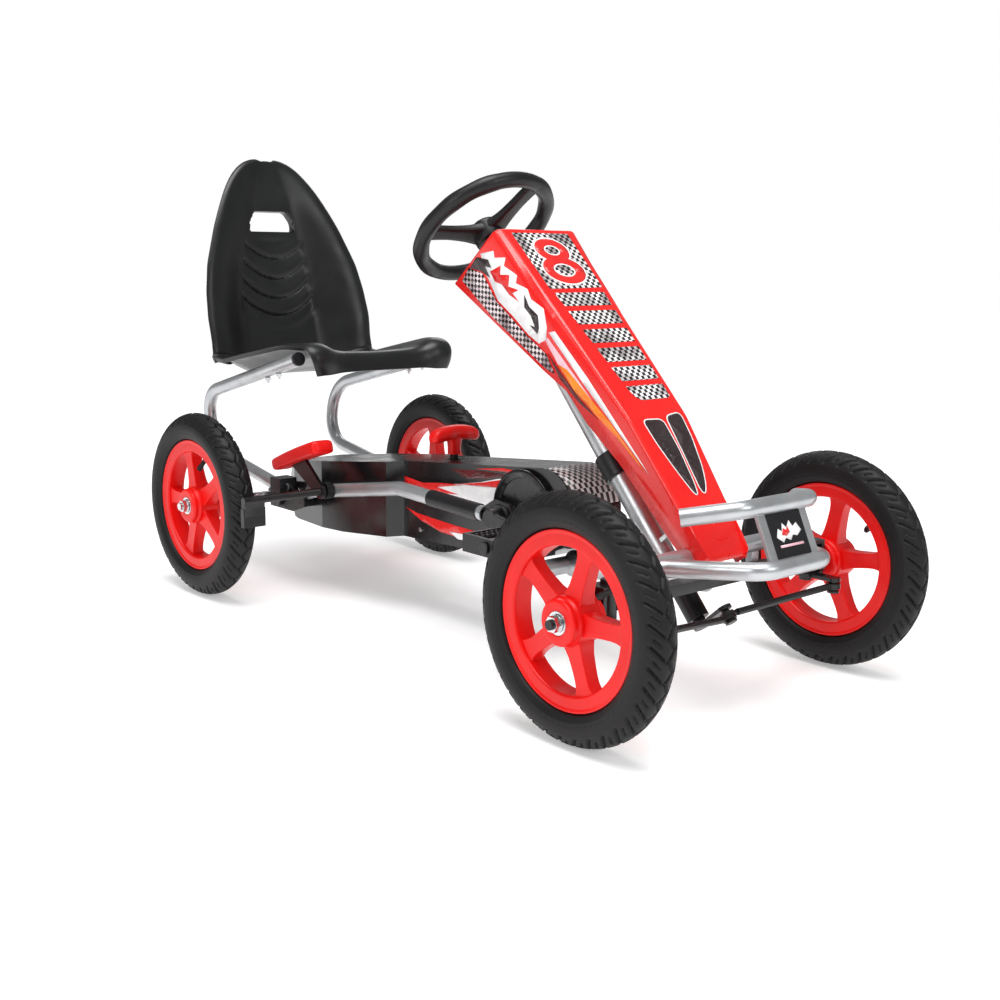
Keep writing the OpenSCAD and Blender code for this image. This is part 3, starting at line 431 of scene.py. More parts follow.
def spoke(turn):
    """A spoke lofted along its radius r: at each r a softened box of half width w and half depth
    h, wide at the hub and flared again where it runs into the ring."""
    r = np.array([20, 28, 34, 42, 56, 68, 76, 82, 87, 91]) / 1000
    w = np.array([14.5, 14, 12.6, 11.2, 10.4, 10.2, 10.8, 12.4, 15.5, 19]) / 1000
    h = np.array([12, 12, 11.2, 10.3, 9.6, 9.3, 9.3, 9.6, 10.4, 11.5]) / 1000
    box = softened([(-1, -1), (-0.86, -1), (0.86, -1), (1, -1),
                    (1, 1), (0.86, 1), (-0.86, 1), (-1, 1)], 0.24, 4)
    P = np.stack([np.broadcast_to(r[:, None], (len(r), len(box))), box[None, :, 1] * h[:, None],
                  box[None, :, 0] * w[:, None]], 2)
    body = grid(P, close_v=True)
    c, s = math.cos(turn), math.sin(turn)
    return [moved(p, [(c, 0, s), (0, 1, 0), (-s, 0, c)]) for p in
            (body, lid(P[0], True), lid(P[-1]))]


RING = softened(np.array([(86.5, -12.5), (88.5, -15), (101, -14.3), (103.5, -15.8), (106, -15.8),
                          (106, -12.5), (97, -11), (97, 11), (106, 12.5), (106, 15.8),
                          (103.5, 15.8), (101, 14.3), (88.5, 15), (86.5, 12.5)]) / 1000, 0.0012, 4)
HUB = softened(np.array([(14.1, 27), (25, 27), (27.5, 25), (27.5, 19.5), (30, 16), (30, -16),
                         (27.5, -19.5), (27.5, -25), (25, -27), (14.1, -27)]) / 1000, 0.0015, 4)

# %% [markdown]
# ## Rims
# Each rim is one red moulding: a ring with two lips that hold the tyre, a hub barrel and five
# tapered spokes. The ring and the hub are profiles turned round the axle. The spokes are
# lofted boxes, which sink into both. A black valve stem leans in through the ring.

# %% Four wheels
tyre_part = tyre_grid()
phases = {"front_right": 1.0, "front_left": 8.0, "rear_right": 34.0, "rear_left": 20.0}
for where, phase in phases.items():
    low, high = (np.array(c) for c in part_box(where + "_tyre"))
    centre = (low + high) / 2
    body = body_of[where + "_tyre"]
    turns = [math.radians(phase + 72 * i) for i in range(5)]
    build(where + "_tyre_tread", [moved(tyre_part, to=centre)], body, TYRE,
          (where + "_tyre",), sharp=50, weld=False)
    rim = [turned(RING, 160), turned(HUB, 72)]
    for a in turns:
        rim += spoke(a)
    build(where + "_rim_moulding", [moved(p, to=centre) for p in rim], body, RIM_RED,
          (where + "_rim",), sharp=40)
    side = 1 if centre[1] > 0 else -1
    a = turns[0] + math.radians(36)
    out = np.array([math.cos(a), 0, math.sin(a)])
    line = np.array([centre + out * (0.088 - 0.003 * k) + [0, side * (0.002 + 0.0016 * k), 0]
                     for k in range(9)])
    radii = [0.0055, 0.0052, 0.0042, 0.0036, 0.0036, 0.0036, 0.0043, 0.0043, 0.0036]
    rings = [(0, 1e-7)] + [(k, r) for k, r in enumerate(radii)] + [(8, 1e-7)]
    build(where + "_valve_stem", [grid(carried(line, rings, (0, 1, 0), 20), close_v=True)], body,
          GRIP_RUBBER, sharp=50)
print("tyre faces", len(tyre_part[1]))

# %% [markdown]
# ## Bent tubes
# The rails, the bumper hoops and the seat tubes are 22 mm steel tube, bent cold on a former.
# A bend keeps its round section, so a circle carried along straight runs and arcs is exact.
# The points repeat those of the engineering model, as offsets in mm from its axles and crank.

# %% Rails, hoops and seat tubes
def mm(*p):
    """A point given in millimetres."""
    return np.array(p, float) / 1000


def mirrored(points):
    """The same points on the other side of the middle plane."""
    return [np.array([p[0], -p[1], p[2]]) for p in points]


rear = np.array(joint["rear_axle_spin"]["pos_m"]) * 1000
front = np.array(joint["front_wheel_left_spin"]["pos_m"]) * 1000
crank = np.array(joint["crank_spin"]["pos_m"]) * 1000
rx, fx, az, cx, cz = rear[0], front[0], rear[2], crank[0], crank[2]
TUBE, WALL = 0.011, 0.002
ACROSS, UP = (0, 1, 0), (0, 0, 1)
for side, sign in (("right", -1), ("left", 1)):
    y = sign * 92
    path = rounded_path([mm(rx + 88, y, az + 17), mm(cx - 234, y, cz + 6), mm(cx - 34, y, cz - 1)],
                        0.06)
    lug = softened(np.array([(-28, -14), (2, -14), (2, 12), (-28, 12)]) / 1000, 0.005, 6)
    plate = np.stack([np.stack([lug[:, 0] + (rx + 88) / 1000, np.full(len(lug), (y + k) / 1000),
                                lug[:, 1] + (az + 17) / 1000], 1) for k in (-4, 4)])
    build("side_rail_%s_tube" % side,
          [pipe(path, TUBE, ACROSS, WALL), grid(plate, close_v=True), lid(plate[0]),
           lid(plate[1], True)], "frame", SILVER, ("side_rail_" + side,))
low_half = [mm(fx - 14, 140, az + 37), mm(fx + 12, 108, az + 41), mm(fx + 123, 58, az + 50)]
high_half = [mm(fx + 37, 112, az + 107), mm(fx + 91, 64, az + 119)]
for place, half in (("lower", low_half), ("upper", high_half)):
    path = rounded_path(half + mirrored(half)[::-1], 0.03)
    build("bumper_%s_tube" % place, [pipe(path, TUBE, UP, WALL)], "frame",
          SILVER, ("bumper_%s_hoop" % place,))
seat_line = [mm(rx + 144, 147, az + 241), mm(rx - 174, 135, az + 160), mm(rx - 174, 121, az + 58),
             mm(rx + 51, 121, az + 58 - 225 * 0.169)]
build("seat_support_tubes", [pipe(rounded_path(p, 0.058, 20), TUBE, ACROSS, WALL, 32)
                             for p in (seat_line, mirrored(seat_line))],
      "seat", SILVER, ("seat_tubes",))
print("axles at", rx, fx, "crank at", cx, cz)

# %% [markdown]
# ## Seat
# The bucket seat is one blown sheet of dark plastic. Its middle line runs from the front lip
# over the pan and up the back, its half width follows the outline, and its edges curl forward.
# All three are smooth functions of the way along the seat. A trapezoid hand slot is left open,
# a shallow panel is sunk below it, and four smile-shaped grooves cross the panel.

# %% Seat sheet
def eased_line(x, xs, ys, soft):
    """The broken line through (xs, ys), blurred by a bell curve of the given width."""
    k = np.linspace(-2.5, 2.5, 21)
    wgt = np.exp(-k ** 2 / 2)
    return sum(w * np.interp(x + soft * d, xs, ys) for w, d in zip(wgt, k)) / wgt.sum()


def step_up(t):
    """0 below 0, 1 above 1, and 3 t^2 - 2 t^3 between."""
    t = np.clip(t, 0, 1)
    return t * t * (3 - 2 * t)


def soft_edge(a, w):
    """A smooth switch from 0 to 1 as a passes nought, over a width of about 4 w."""
    return 1 / (1 + np.exp(-np.clip(a / w, -30, 30)))


SEAT_U = [0, 0.5, 1, 2, 3, 4, 5, 5.6, 6, 6.5, 7, 7.4, 8, 8.35, 8.7, 9, 9.3, 9.6, 9.8, 9.9, 10]
SEAT_X = [-240, -242, -250, -300, -400, -470, -515, -535, -546, -556, -564, -570, -578, -582,
          -586, -589, -592, -594, -596, -597, -597]
SEAT_Z = [366, 379, 394, 388, 365, 347, 347, 364, 392, 434, 480, 526, 590, 624,
          654, 674, 691, 701, 706, 707.5, 708]
SEAT_HALF = [126, 132, 138, 150, 157, 161, 162, 161, 160, 162, 158, 149, 124, 107,
             90, 75, 59, 44, 31, 25, 15]


def seat_place(u, Y, lift):
    """The middle line at u, plus Y mm across, plus lift along the forward normal (a numpy grid)."""
    x = eased_line(u, SEAT_U, SEAT_X, 0.16) - 7
    z = eased_line(u, SEAT_U, SEAT_Z, 0.05 + 0.09 * np.clip(10 - u, 0, 1))
    mid = np.stack([x, 0 * x, z], 1)
    T = unit(np.gradient(mid, axis=0))
    out = np.stack([T[:, 2], 0 * x, -T[:, 0]], 1)
    return (mid[:, None] + np.stack([0 * Y, Y, 0 * Y], 2) + lift[..., None] * out[:, None]) / 1000


def seat_sheet(nu=340, nv=130):
    """Forward lift in mm: the edge band rises by curl through a smooth step of |v|, its rim
    falls back 3 mm, the front lip has two swells, and the panel and its grooves are sunk, with
    a raised shingle beside each groove. Groove c is the curve u = c + 0.34 (Y / 70)^2, which
    sags like a smile."""
    u = 10 * (1 - (1 - np.linspace(0, 1, nu)) ** 1.25)
    v = np.linspace(-1, 1, nv)
    half = eased_line(u, SEAT_U, SEAT_HALF, 0.05)
    curl = eased_line(u, [0, 1, 2, 4, 5, 6.4, 7.2, 8, 8.6, 9, 9.5, 10],
                      [2, 10, 18, 25, 29, 42, 36, 23, 12, 6, 2, 0], 0.2)
    A, uu, Y = np.abs(v)[None], u[:, None], v[None] * half[:, None]
    fold = np.interp(u, [0, 1, 4, 6, 8, 10], [0.72, 0.64, 0.5, 0.42, 0.36, 0.3])[:, None]
    lift = curl[:, None] * step_up((A - fold) / (0.97 - fold))
    lift = lift - 3.0 * np.clip((A - 0.95) / 0.05, 0, 1) ** 2 * np.clip(10 - uu, 0, 0.8)
    band = np.interp(uu, [6.3, 6.6, 8.0], [70, 82, 56])
    low = 6.3 + 0.34 * (Y / 70) ** 2
    panel = soft_edge(band - np.abs(Y), 1.2) * soft_edge(uu - low, 0.02)
    panel = panel * soft_edge(7.86 - uu, 0.02)
    sag = uu - 0.34 * (Y / 70) ** 2
    lines = (6.58, 6.9, 7.22, 7.54)
    shingle = sum(np.clip(1 - np.abs((sag - c - 0.12) / 0.2), 0, 1) for c in lines)
    groove = sum(np.exp(-((sag - c) / 0.026) ** 2) for c in lines)
    lift = lift - panel * (2.0 + 3.2 * groove - 2.2 * shingle)
    lift = lift + 9 * np.exp(-((np.abs(Y) - 108) / 24) ** 2) * np.exp(-((uu - 1.1) / 0.8) ** 2)
    lift = lift - 2.5 * np.exp(-(Y / 60) ** 2) * np.exp(-((uu - 1.2) / 1.0) ** 2)
    V, F, uv = grid(seat_place(u, Y, lift))
    ui, yi = np.broadcast_to(uu, Y.shape).ravel(), Y.ravel()
    fu, fy = ui[F].mean(1), np.abs(yi[F]).mean(1)
    slot = (fu > 8.0) & (fu < 8.36) & (fy < np.interp(fu, [8.0, 8.16, 8.36], [46, 46, 33]))
    return V, F[~slot], uv[~slot]


seat = build("seat_shell_moulding", [seat_sheet()], "seat", SEAT_BLACK,
             ("seat_shell",), sharp=60, weld=False)
wall = seat.modifiers.new("wall", "SOLIDIFY")
wall.thickness, wall.offset, wall.use_even_offset = 0.0075, -1.0, False
edge = seat.modifiers.new("edge", "BEVEL")
edge.width, edge.segments, edge.limit_method = 0.0026, 3, "ANGLE"
edge.angle_limit = math.radians(60)

# %% Deep collar round the hand slot
slot_at = np.array([[8.0, 46], [8.16, 46], [8.36, 33], [8.36, -33], [8.16, -46], [8.0, -46]])
slot_at = softened(slot_at * [100, 1], 7, 6) / [100, 1]
slot_mid = (8.18, 0)
collar = []
for back, out_mm in ((1.5, 0.0), (1.5, 2.5), (-4, 3.5), (-12, 3.0), (-12, 0.6), (-4, 0.0)):
    p = slot_at + unit((slot_at - slot_mid) * [180, 1]) * out_mm / [180, 1]
    x = eased_line(p[:, 0], SEAT_U, SEAT_X, 0.16) - 7 + back * 0.99
    z = eased_line(p[:, 0], SEAT_U, SEAT_Z, 0.14) + back * 0.12
    collar.append(np.stack([x, p[:, 1], z], 1) / 1000)
build("seat_slot_collar", [grid(np.array(collar), close_u=True, close_v=True)], "seat",
      SEAT_BLACK, sharp=50)
print("seat box", [[round(v, 3) for v in seat.bound_box[k]] for k in (0, 6)])

# %% [markdown]
# ## Steering wheel
# The wheel is a soft black ring on a three-arm core. The ring is a circle carried round a
# larger circle, and its section swells where the hands hold it. The arms are lofted flat bars
# that start at the hub and sink into the ring.

# %% Ring, arms and hub
steer = joint["steering_turn"]
HUBP, D = np.array(steer["pos_m"]), unit(steer["axis"])
E = np.array([-D[2], 0, D[0]])
COLUMN = np.stack([E, [0, -1, 0], D])


def column(part):
    """Carries a part from the column's own axes (forward, right, down the shaft) to its place."""
    return moved(part, COLUMN, HUBP)


a = np.linspace(0, 2 * np.pi, 180, endpoint=False)
b = np.linspace(0, 2 * np.pi, 30, endpoint=False)[None]
swell = 0.0112 + 0.0008 * np.cos(6 * a)[:, None] ** 2 * (np.abs(np.sin(a))[:, None] > 0.35)
ring_r = 0.1000 + swell * np.cos(b)
ring = np.stack([ring_r * np.cos(a)[:, None], ring_r * np.sin(a)[:, None],
                 swell * np.sin(b) + 0 * a[:, None]], 2)
build("steering_wheel_ring", [column(grid(ring, close_u=True, close_v=True))], "steering",
      SATIN_BLACK, ("steering_wheel",), sharp=60)
arms = []
for turn in (98, 218, 338):
    r = np.linspace(0.012, 0.094, 9)
    w = np.interp(r, [0.012, 0.03, 0.06, 0.094], [0.019, 0.0145, 0.0115, 0.0125])
    zc = np.interp(r, [0.012, 0.03, 0.07, 0.094], [0.010, 0.008, 0.002, 0.0])
    h = np.interp(r, [0.012, 0.04, 0.094], [0.0085, 0.0055, 0.005])
    box = softened([(-1, -1), (1, -1), (1, 1), (-1, 1)], 0.55, 5)
    P = np.stack([np.broadcast_to(r[:, None], (len(r), len(box))), box[None, :, 0] * w[:, None],
                  box[None, :, 1] * h[:, None] + zc[:, None]], 2)
    c, s = math.cos(math.radians(turn)), math.sin(math.radians(turn))
    arms.append(column(moved(grid(P, close_v=True), [(c, s, 0), (-s, c, 0), (0, 0, 1)])))
boss = softened([(0.0001, -0.004), (0.020, -0.004), (0.024, 0.0), (0.022, 0.027),
                 (0.0085, 0.028), (0.0001, 0.028)], 0.003, 5)
V, F, uv = turned(boss, 48)
arms.append(column((V[:, [0, 2, 1]], F, uv)))
build("steering_wheel_arms", arms, "steering", SATIN_BLACK, sharp=45)
print("wheel ring radius", round(float(ring_r.max()), 4))

# %% [markdown]
# ## Fairing
# The fairing is one thin red moulding that hangs on the steering column, open at its back.
# Its section is the same folded shape all the way down, only narrower: a flat side, a broad
# chamfer and a raised front panel. So the section's few corner points are written as functions
# of the way down the column, softened by small curves, and swept as one grid. The top is a
# flat cap with a hole for the shaft. A Solidify modifier then gives it its 2.6 mm wall.

# %% The folded section, from the driver's end to the bumper
TOP, LONG = 74, 544


def half_width(s):
    """Half width of the side walls: 76 mm at the top, and 34 mm less at the foot."""
    return 76 - (s - TOP) * 34 / LONG


def side_fold(s):
    """Height of the fold between side and chamfer: 79 mm, rising 9 mm down the fairing."""
    return 79 + 9 * (s - TOP) / LONG


def panel_half(s):
    """Half width of the raised front panel."""
    return np.interp(s, [74, 181, 414, 618], [64, 62, 55, 41])


def panel_high(s):
    """Height of the front panel: it swells to 106 mm, folds, and dives at the foot."""
    return eased_line(s, [40, 83, 181, 307, 414, 560, 606, 640],
                      [80, 83.5, 89.5, 98.5, 106, 98, 91, 85], 6)


def open_edge(s):
    """Height of the free rear edge of the side wall."""
    return np.interp(s, [74, 277, 320, 374, 447, 571, 618], [-33, 27, 42, 43, 55, 60, 66])


def softened_open(P, cut, steps=6):
    """Rows of an open outline P[row, corner], each inner corner cut by a small curve."""
    a, c, b = P[:, :-2], P[:, 1:-1], P[:, 2:]
    r = np.asarray(cut)[None, :, None]
    p, q = c + unit(a - c) * r, c + unit(b - c) * r
    f = np.linspace(0, 1, steps)[None, None, :, None]
    arc = (1 - f) ** 2 * p[:, :, None] + 2 * f * (1 - f) * c[:, :, None] + f ** 2 * q[:, :, None]
    arc = arc.reshape(len(P), -1, 2)
    return np.concatenate([P[:, :1], arc, P[:, -1:]], 1)


def on_column(s, y, e):
    """A place s down the column, y to the left and e in front of it, in millimetres."""
    s, y, e = (np.asarray(v, float)[..., None] / 1000 for v in np.broadcast_arrays(s, y, e))
    return HUBP + s * D + y * np.array([0, 1, 0]) + e * E


def fairing_section(s, shrink=0.0):
    """Corner points (y, e) of the section at s, drawn in by shrink mm."""
    w, p = half_width(s) - shrink, panel_half(s) - shrink
    fold, high, low = side_fold(s) - shrink, panel_high(s) - shrink, open_edge(s)
    pts = [(-w, low), (-w, fold), (-p, high), (p, high), (w, fold), (w, low)]
    return np.stack([np.stack([np.broadcast_to(k, s.shape) for k in q], -1) for q in pts], 1)


top_roll = np.linspace(0, np.pi / 2, 6)
stations = np.concatenate([TOP + 0.2 + 5 * (1 - np.sin(top_roll[::-1])),
                           np.linspace(84, 612, 90), [614.5, 616.5, 617.6]])
inset = np.concatenate([5 * (1 - np.cos(top_roll[::-1])), np.zeros(90), [0.4, 1.4, 3.0]])
sec = np.concatenate([softened_open(fairing_section(np.array([s]), k), [7, 6, 6, 7])
                      for s, k in zip(stations, inset)])
shell = on_column(stations[:, None], sec[..., 0], sec[..., 1])
rear_edge = np.linspace(sec[0][-1], sec[0][0], 16)[1:-1]
outline = np.concatenate([sec[0], rear_edge])
angle = np.arctan2(outline[:, 1], outline[:, 0])
hole = 13.2 * np.stack([np.cos(angle), np.sin(angle)], 1)
share = np.array([0, 0.06, 0.5, 0.93, 1.0])[:, None, None]
cap = outline[None] * (1 - share) + hole[None] * share
cap = on_column(stations[0], cap[..., 0], cap[..., 1])
fairing = build("fairing_shell", [grid(shell), grid(cap, close_v=True)], "frame",
                RED, ("fairing",), sharp=38)
me = fairing.data
to_front = sum(f.normal.dot(E.tolist()) * f.area for f in me.polygons if f.center.x > 0)
if to_front < 0:
    me.flip_normals()
    me.set_sharp_from_angle(angle=math.radians(38))
wall = fairing.modifiers.new("wall", "SOLIDIFY")
wall.thickness, wall.offset = 0.0026, -1.0
print("fairing faces", len(me.polygons), "front normal sum", round(to_front, 4))

# %% [markdown]
# ## Stickers
# The stickers are printed vinyl, a quarter of a millimetre thick. Each one is an outline drawn
# on the flat, cut into strips so that it can bend, and then carried on to its surface. The
# chequered print is two squares to the repeat, on Object coordinates turned to lie in the
# panel, so its squares keep their size. A plain racing numeral is the only figure on it.

# %% Vinyl prints
def vinyl(name, low, high):
    """Printed vinyl: a flat ink under a clear, nearly smooth film, with a faint print grain."""
    return finish(name, low, high, 35, 1.2, 0.006, 0.26, 0.04, IOR=1.46, Coat_Weight=0.2,
                  Coat_Roughness=0.1)


def chequers(name, square_mm, lean, dark, light, shade, flat_axis):
    """Squares of two inks. Object coordinates are turned by lean about Y, and flat_axis, which
    is square to the panel, is set to nought, so the thickness cuts no square. Broad noise
    multiplies some squares by the shade colour, a painted shade that stands in for shading
    over the print."""
    m, t, bsdf, place = start(name)
    k = 1000 / square_mm
    turn = add(t, "Mapping", {"Vector": place, "Rotation": (0, math.radians(lean), 0)})
    flat = {"Y": (k, 0, k), "Z": (k, k, 0)}[flat_axis]
    size = add(t, "VectorMath", {0: turn.outputs["Vector"], 1: flat}, operation="MULTIPLY")
    lift = add(t, "VectorMath", {0: size.outputs[0], 1: (0.31, 0.31, 0.31)}, operation="ADD")
    check = add(t, "TexChecker", {"Vector": lift.outputs[0], "Scale": 1.0, "Color1": colour(light),
                                  "Color2": colour(dark)})
    # Painted shade: broad noise darkens patches of squares towards the shade colour.
    shade_patches = add(t, "TexNoise", {"Vector": place, "Scale": 28.0, "Detail": 1.0})
    painted_shade = ramp(t, shade_patches.outputs["Fac"], [(0.40, shade), (0.56, "#FFFFFF")])
    both = add(t, "Mix", {0: 1.0, 6: check.outputs["Color"], 7: painted_shade}, data_type="RGBA",
               blend_type="MULTIPLY")
    soft = add(t, "TexNoise", {"Vector": place, "Scale": 60.0})
    r = add(t, "MapRange", {"Value": soft.outputs["Fac"], "To Min": 0.2, "To Max": 0.34})
    feed(t, bsdf, {"Base Color": both.outputs[2], "Roughness": r.outputs["Result"]})
    return m


LEAN = -math.degrees(math.atan2(-D[2], D[0]))
WHITE_INK = vinyl("white_vinyl_print", "#F2F1F2", "#FBFAFA")
ROSE_INK = vinyl("pale_rose_vinyl_print", "#F6B7C3", "#FBCCD4")
RED_INK = vinyl("red_vinyl_print", "#DA1C1A", "#E62823")
ORANGE_INK = vinyl("orange_vinyl_print", "#FF7A12", "#FF9322")
SOOT_INK = vinyl("soot_vinyl_print", "#2A1E20", "#38292B")
WINE_INK = vinyl("wine_vinyl_print", "#4A0D10", "#66151A")
# The third colour of each chequer print is its painted shade; white leaves the nose print unshaded.
FRONT_CHECK = chequers("chequered_vinyl_front", 5.6, LEAN, "#2C2527", "#F3F1F1", "#A9A3A4", "Z")
SIDE_CHECK = chequers("chequered_vinyl_side", 5.0, LEAN, "#241D1F", "#E9D9DC", "#9A8F91", "Y")
NOSE_CHECK = chequers("chequered_vinyl_nose", 5.4, 0, "#332C2E", "#DCD8D8", "#FFFFFF", "Z")

# %% Cutting a sticker and laying it on
FILM_MM, GAP_MM, LEVEL_MM = 0.22, 0.12, 0.32


def sticker(name, outlines, place, material, level=1, cuts=14):
    """Outlines (u, v) in mm: the first is the edge and the rest are holes. The flat face is
    triangulated, cut at even u, and point (u, v) goes to place(u, v, lift above the surface).
    A sticker that lies on another one has the next level. Every sticker rides on the frame."""
    bm = bmesh.new()
    edges = []
    for line in outlines:
        vs = [bm.verts.new((u, v, 0)) for u, v in line]
        edges += [bm.edges.new(pair) for pair in zip(vs, vs[1:] + vs[:1])]
    bmesh.ops.triangle_fill(bm, use_beauty=True, use_dissolve=False, edges=edges, normal=(0, 0, 1))
    us = [v.co.x for v in bm.verts]
    for k in np.linspace(min(us), max(us), cuts + 1)[1:-1]:
        bmesh.ops.bisect_plane(bm, geom=bm.verts[:] + bm.edges[:] + bm.faces[:], dist=1e-6,
                               plane_co=(k, 0, 0), plane_no=(1, 0, 0))
    me = bpy.data.meshes.new(name)
    bm.to_mesh(me)
    bm.free()
    P = np.empty(3 * len(me.vertices))
    me.vertices.foreach_get("co", P)
    P = P.reshape(-1, 3)
    lift = GAP_MM + LEVEL_MM * (level - 1)
    low, high = (place(P[:, 0], P[:, 1], lift + k) for k in (0, FILM_MM))
    me.vertices.foreach_set("co", low.astype(np.float32).ravel())
    me.update()
    outward = high - low
    n = np.zeros(3)
    for f in me.polygons:
        n += np.array(f.normal) * f.area
    if n @ outward.mean(0) < 0:
        me.flip_normals()
    me.uv_layers.new(name="way")
    film = wear(bpy.data.objects.new(name, me), "frame", material).modifiers.new(
        "film", "SOLIDIFY")
    film.thickness, film.offset = FILM_MM / 1000, 1.0


def on_front(s, y, lift):
    """A place on the raised front panel."""
    return on_column(s, y, panel_high(s) + lift)


def on_side(sign):
    """The placing function of one side wall of the fairing: -1 for the right, 1 for the left."""
    def place(s, e, lift):
        return on_column(s, sign * (half_width(s) + lift), e)
    return place


def arc_line(cu, cv, ru, rv, n=48):
    """An oval outline about (cu, cv)."""
    a = np.linspace(0, 2 * np.pi, n, endpoint=False)
    return np.stack([cu + ru * np.cos(a), cv + rv * np.sin(a)], 1)


def rounded(points, r, steps=5):
    """An outline whose corners are cut by curves r mm long."""
    return softened(np.array(points, float), r, steps)


def grown(points, mm_out):
    """The outline moved out by a distance, along the mean of its two edge normals."""
    P = np.array(points, float)
    t = unit(np.roll(P, -1, 0) - np.roll(P, 1, 0))
    n = np.stack([t[:, 1], -t[:, 0]], 1)
    area = (P[:, 0] * np.roll(P[:, 1], -1) - P[:, 1] * np.roll(P[:, 0], -1)).sum()
    return P + n * mm_out * np.sign(area)


# %% [markdown]
# On the front panel a chequered square carries the numeral, six chequered bars run down below
# it, and two dark pointed intakes with white borders close the row. A border is a ring, so
# nothing lies under the dark print inside it.

# %% Front stickers
panel = rounded([(84, -52), (84, 54), (186, 54), (188, -46)], 3)
sticker("panel_chequers", [panel], on_front, FRONT_CHECK, 1, 24)
for k in range(6):
    a, b = 195 + 33 * k, 219 + 33 * k
    left, right = -43 + 3.8 * k, 51 - k
    bar = [(a, left), (a, right), (b, right - 1), (b, left + 4)]
    if k == 5:
        bar = [(a, left), (a, right), (b - 3, right - 1), (b, right - 8), (b, left + 14),
               (b - 6, left + 5)]
    sticker("panel_bar_%d" % (k + 1), [rounded(bar, 2)], on_front, FRONT_CHECK, 1, 24)
INTAKES = {
    "near": [(403, -27), (405, 9), (450, 11), (500, 7), (517, 3), (513, -2), (480, -12),
             (440, -22)],
    "far": [(401, 18), (397, 47), (436, 45), (480, 36), (505, 26), (517, 17), (510, 13),
            (460, 16)]}
for name, outline in INTAKES.items():
    line = rounded(np.array(outline) + [12, -5], 9)
    inner = grown(line, 0)
    sticker("intake_border_" + name, [grown(line, 1.7), inner], on_front, WHITE_INK, 1, 40)
    sticker("intake_dark_" + name, [inner], on_front, SOOT_INK, 1, 40)

# %% The racing numeral, a figure of two ovals
OVALS = [(117, 3, 22, 30), (154, 3, 25, 37)]
HOLES = [(117, 3, 9.5, 14), (154, 3, 12, 19)]


def figure_outline(grow):
    """The two ovals merged: round their common middle, the farthest point inside either."""
    a = np.linspace(-np.pi, np.pi, 240, endpoint=False)
    d = np.stack([np.cos(a), np.sin(a)], 1)
    mid = np.mean(OVALS, 0)[:2]
    r = np.linspace(0, 60, 600)[None, :, None]
    p = mid + r * d[:, None]
    inside = [((p[..., 0] - u) / (ru + grow)) ** 2 + ((p[..., 1] - v) / (rv + grow)) ** 2 < 1
              for u, v, ru, rv in OVALS]
    far = np.where(inside[0] | inside[1], r[..., 0], 0).max(1)
    return mid + far[:, None] * d


holes = [arc_line(*o) for o in HOLES]
rims = [arc_line(u, v, ru - 2, rv - 2.4) for u, v, ru, rv in HOLES]
borders = [[figure_outline(2.6), figure_outline(0)], [holes[0], rims[0]], [holes[1], rims[1]]]
sticker("numeral_red", [figure_outline(0)] + holes, on_front, RED_INK, 2, 24)
for k, lines in enumerate(borders):
    sticker("numeral_border_%d" % (k + 1), lines, on_front, WHITE_INK, 2, 24)
print("front stickers laid")

# %% Side stickers
SIDE_PRINTS = [
    ("flash", WHITE_INK, 1, [
        (82, 38), (96, 60), (104, 55), (118, 72), (124, 62), (150, 73), (156, 64), (176, 76),
        (190, 72), (214, 82), (236, 70), (247, 58), (243, 44), (221, 36), (186, 30), (150, 21),
        (124, 26), (104, 27)]),
    ("band", SIDE_CHECK, 1, [
        (84, -17), (80, 6), (104, 22), (150, 18), (221, 33), (262, 45), (291, 40), (277, 32),
        (240, 21), (160, -3)]),
    ("dark", SOOT_INK, 2, [
        (82, 8), (80, 28), (98, 44), (110, 41), (100, 33), (118, 30), (100, 22)]),
    ("claw", RED_INK, 2, [
        (112, 36), (120, 58), (128, 48), (140, 62), (150, 50), (166, 62), (162, 50), (178, 52),
        (160, 44), (140, 42), (128, 34)]),
    ("tail", SOOT_INK, 2, [
        (178, 66), (196, 63), (214, 68), (228, 58), (232, 50), (214, 47), (222, 53), (206, 57),
        (190, 55)]),
    ("streak", WHITE_INK, 1, [
        (243, 68), (249, 78), (330, 84), (420, 86), (486, 87), (420, 81), (330, 73)]),
    ("rose", ROSE_INK, 1, [
        (246, 56), (247, 62), (330, 69), (380, 72), (330, 60), (290, 53)]),
    ("flame", ORANGE_INK, 2, [
        (285, 53), (300, 62), (352, 70), (400, 78), (478, 84), (410, 72), (360, 60), (372, 64),
        (330, 54)]),
    ("wine", WINE_INK, 1, [
        (262, 48), (300, 50), (345, 55), (382, 63), (345, 50), (300, 43)])]
for sign, side in ((-1, "right"), (1, "left")):
    for name, ink, level, outline in SIDE_PRINTS:
        sticker("side_%s_%s" % (name, side), [outline], on_side(sign), ink, level)
print("side stickers laid")

# %% [markdown]
# ## Chain case, discs and pedals
# The case halves and rear covers are polished black mouldings with clear facets, so their
# engineering shape is kept and only their edges are eased. The white and red flashes on the
# case are stickers again, laid on its two side walls and round its nose.

# %% Eased covers, discs, pedals and their reflectors
def reflector_plastic():
    """Orange acrylic with a moulded prism grid of 2.2 mm cells that scatters light back."""
    m, t, bsdf, place = start("orange_prism_reflector")
    cells = add(t, "TexVoronoi", {"Vector": place, "Scale": 450.0, "Randomness": 0.15},
                distance="CHEBYCHEV")
    orange = ramp(t, cells.outputs["Distance"], [(0.1, "#FF8A1E"), (0.7, "#D9480A")])
    bump = add(t, "Bump", {"Height": cells.outputs["Distance"], "Distance": 0.0006})
    r = add(t, "MapRange", {"Value": cells.outputs["Distance"], "To Min": 0.1, "To Max": 0.25})
    feed(t, bsdf, {"Base Color": orange, "Roughness": r.outputs["Result"],
                   "Normal": bump.outputs["Normal"], "IOR": 1.49})
    return m


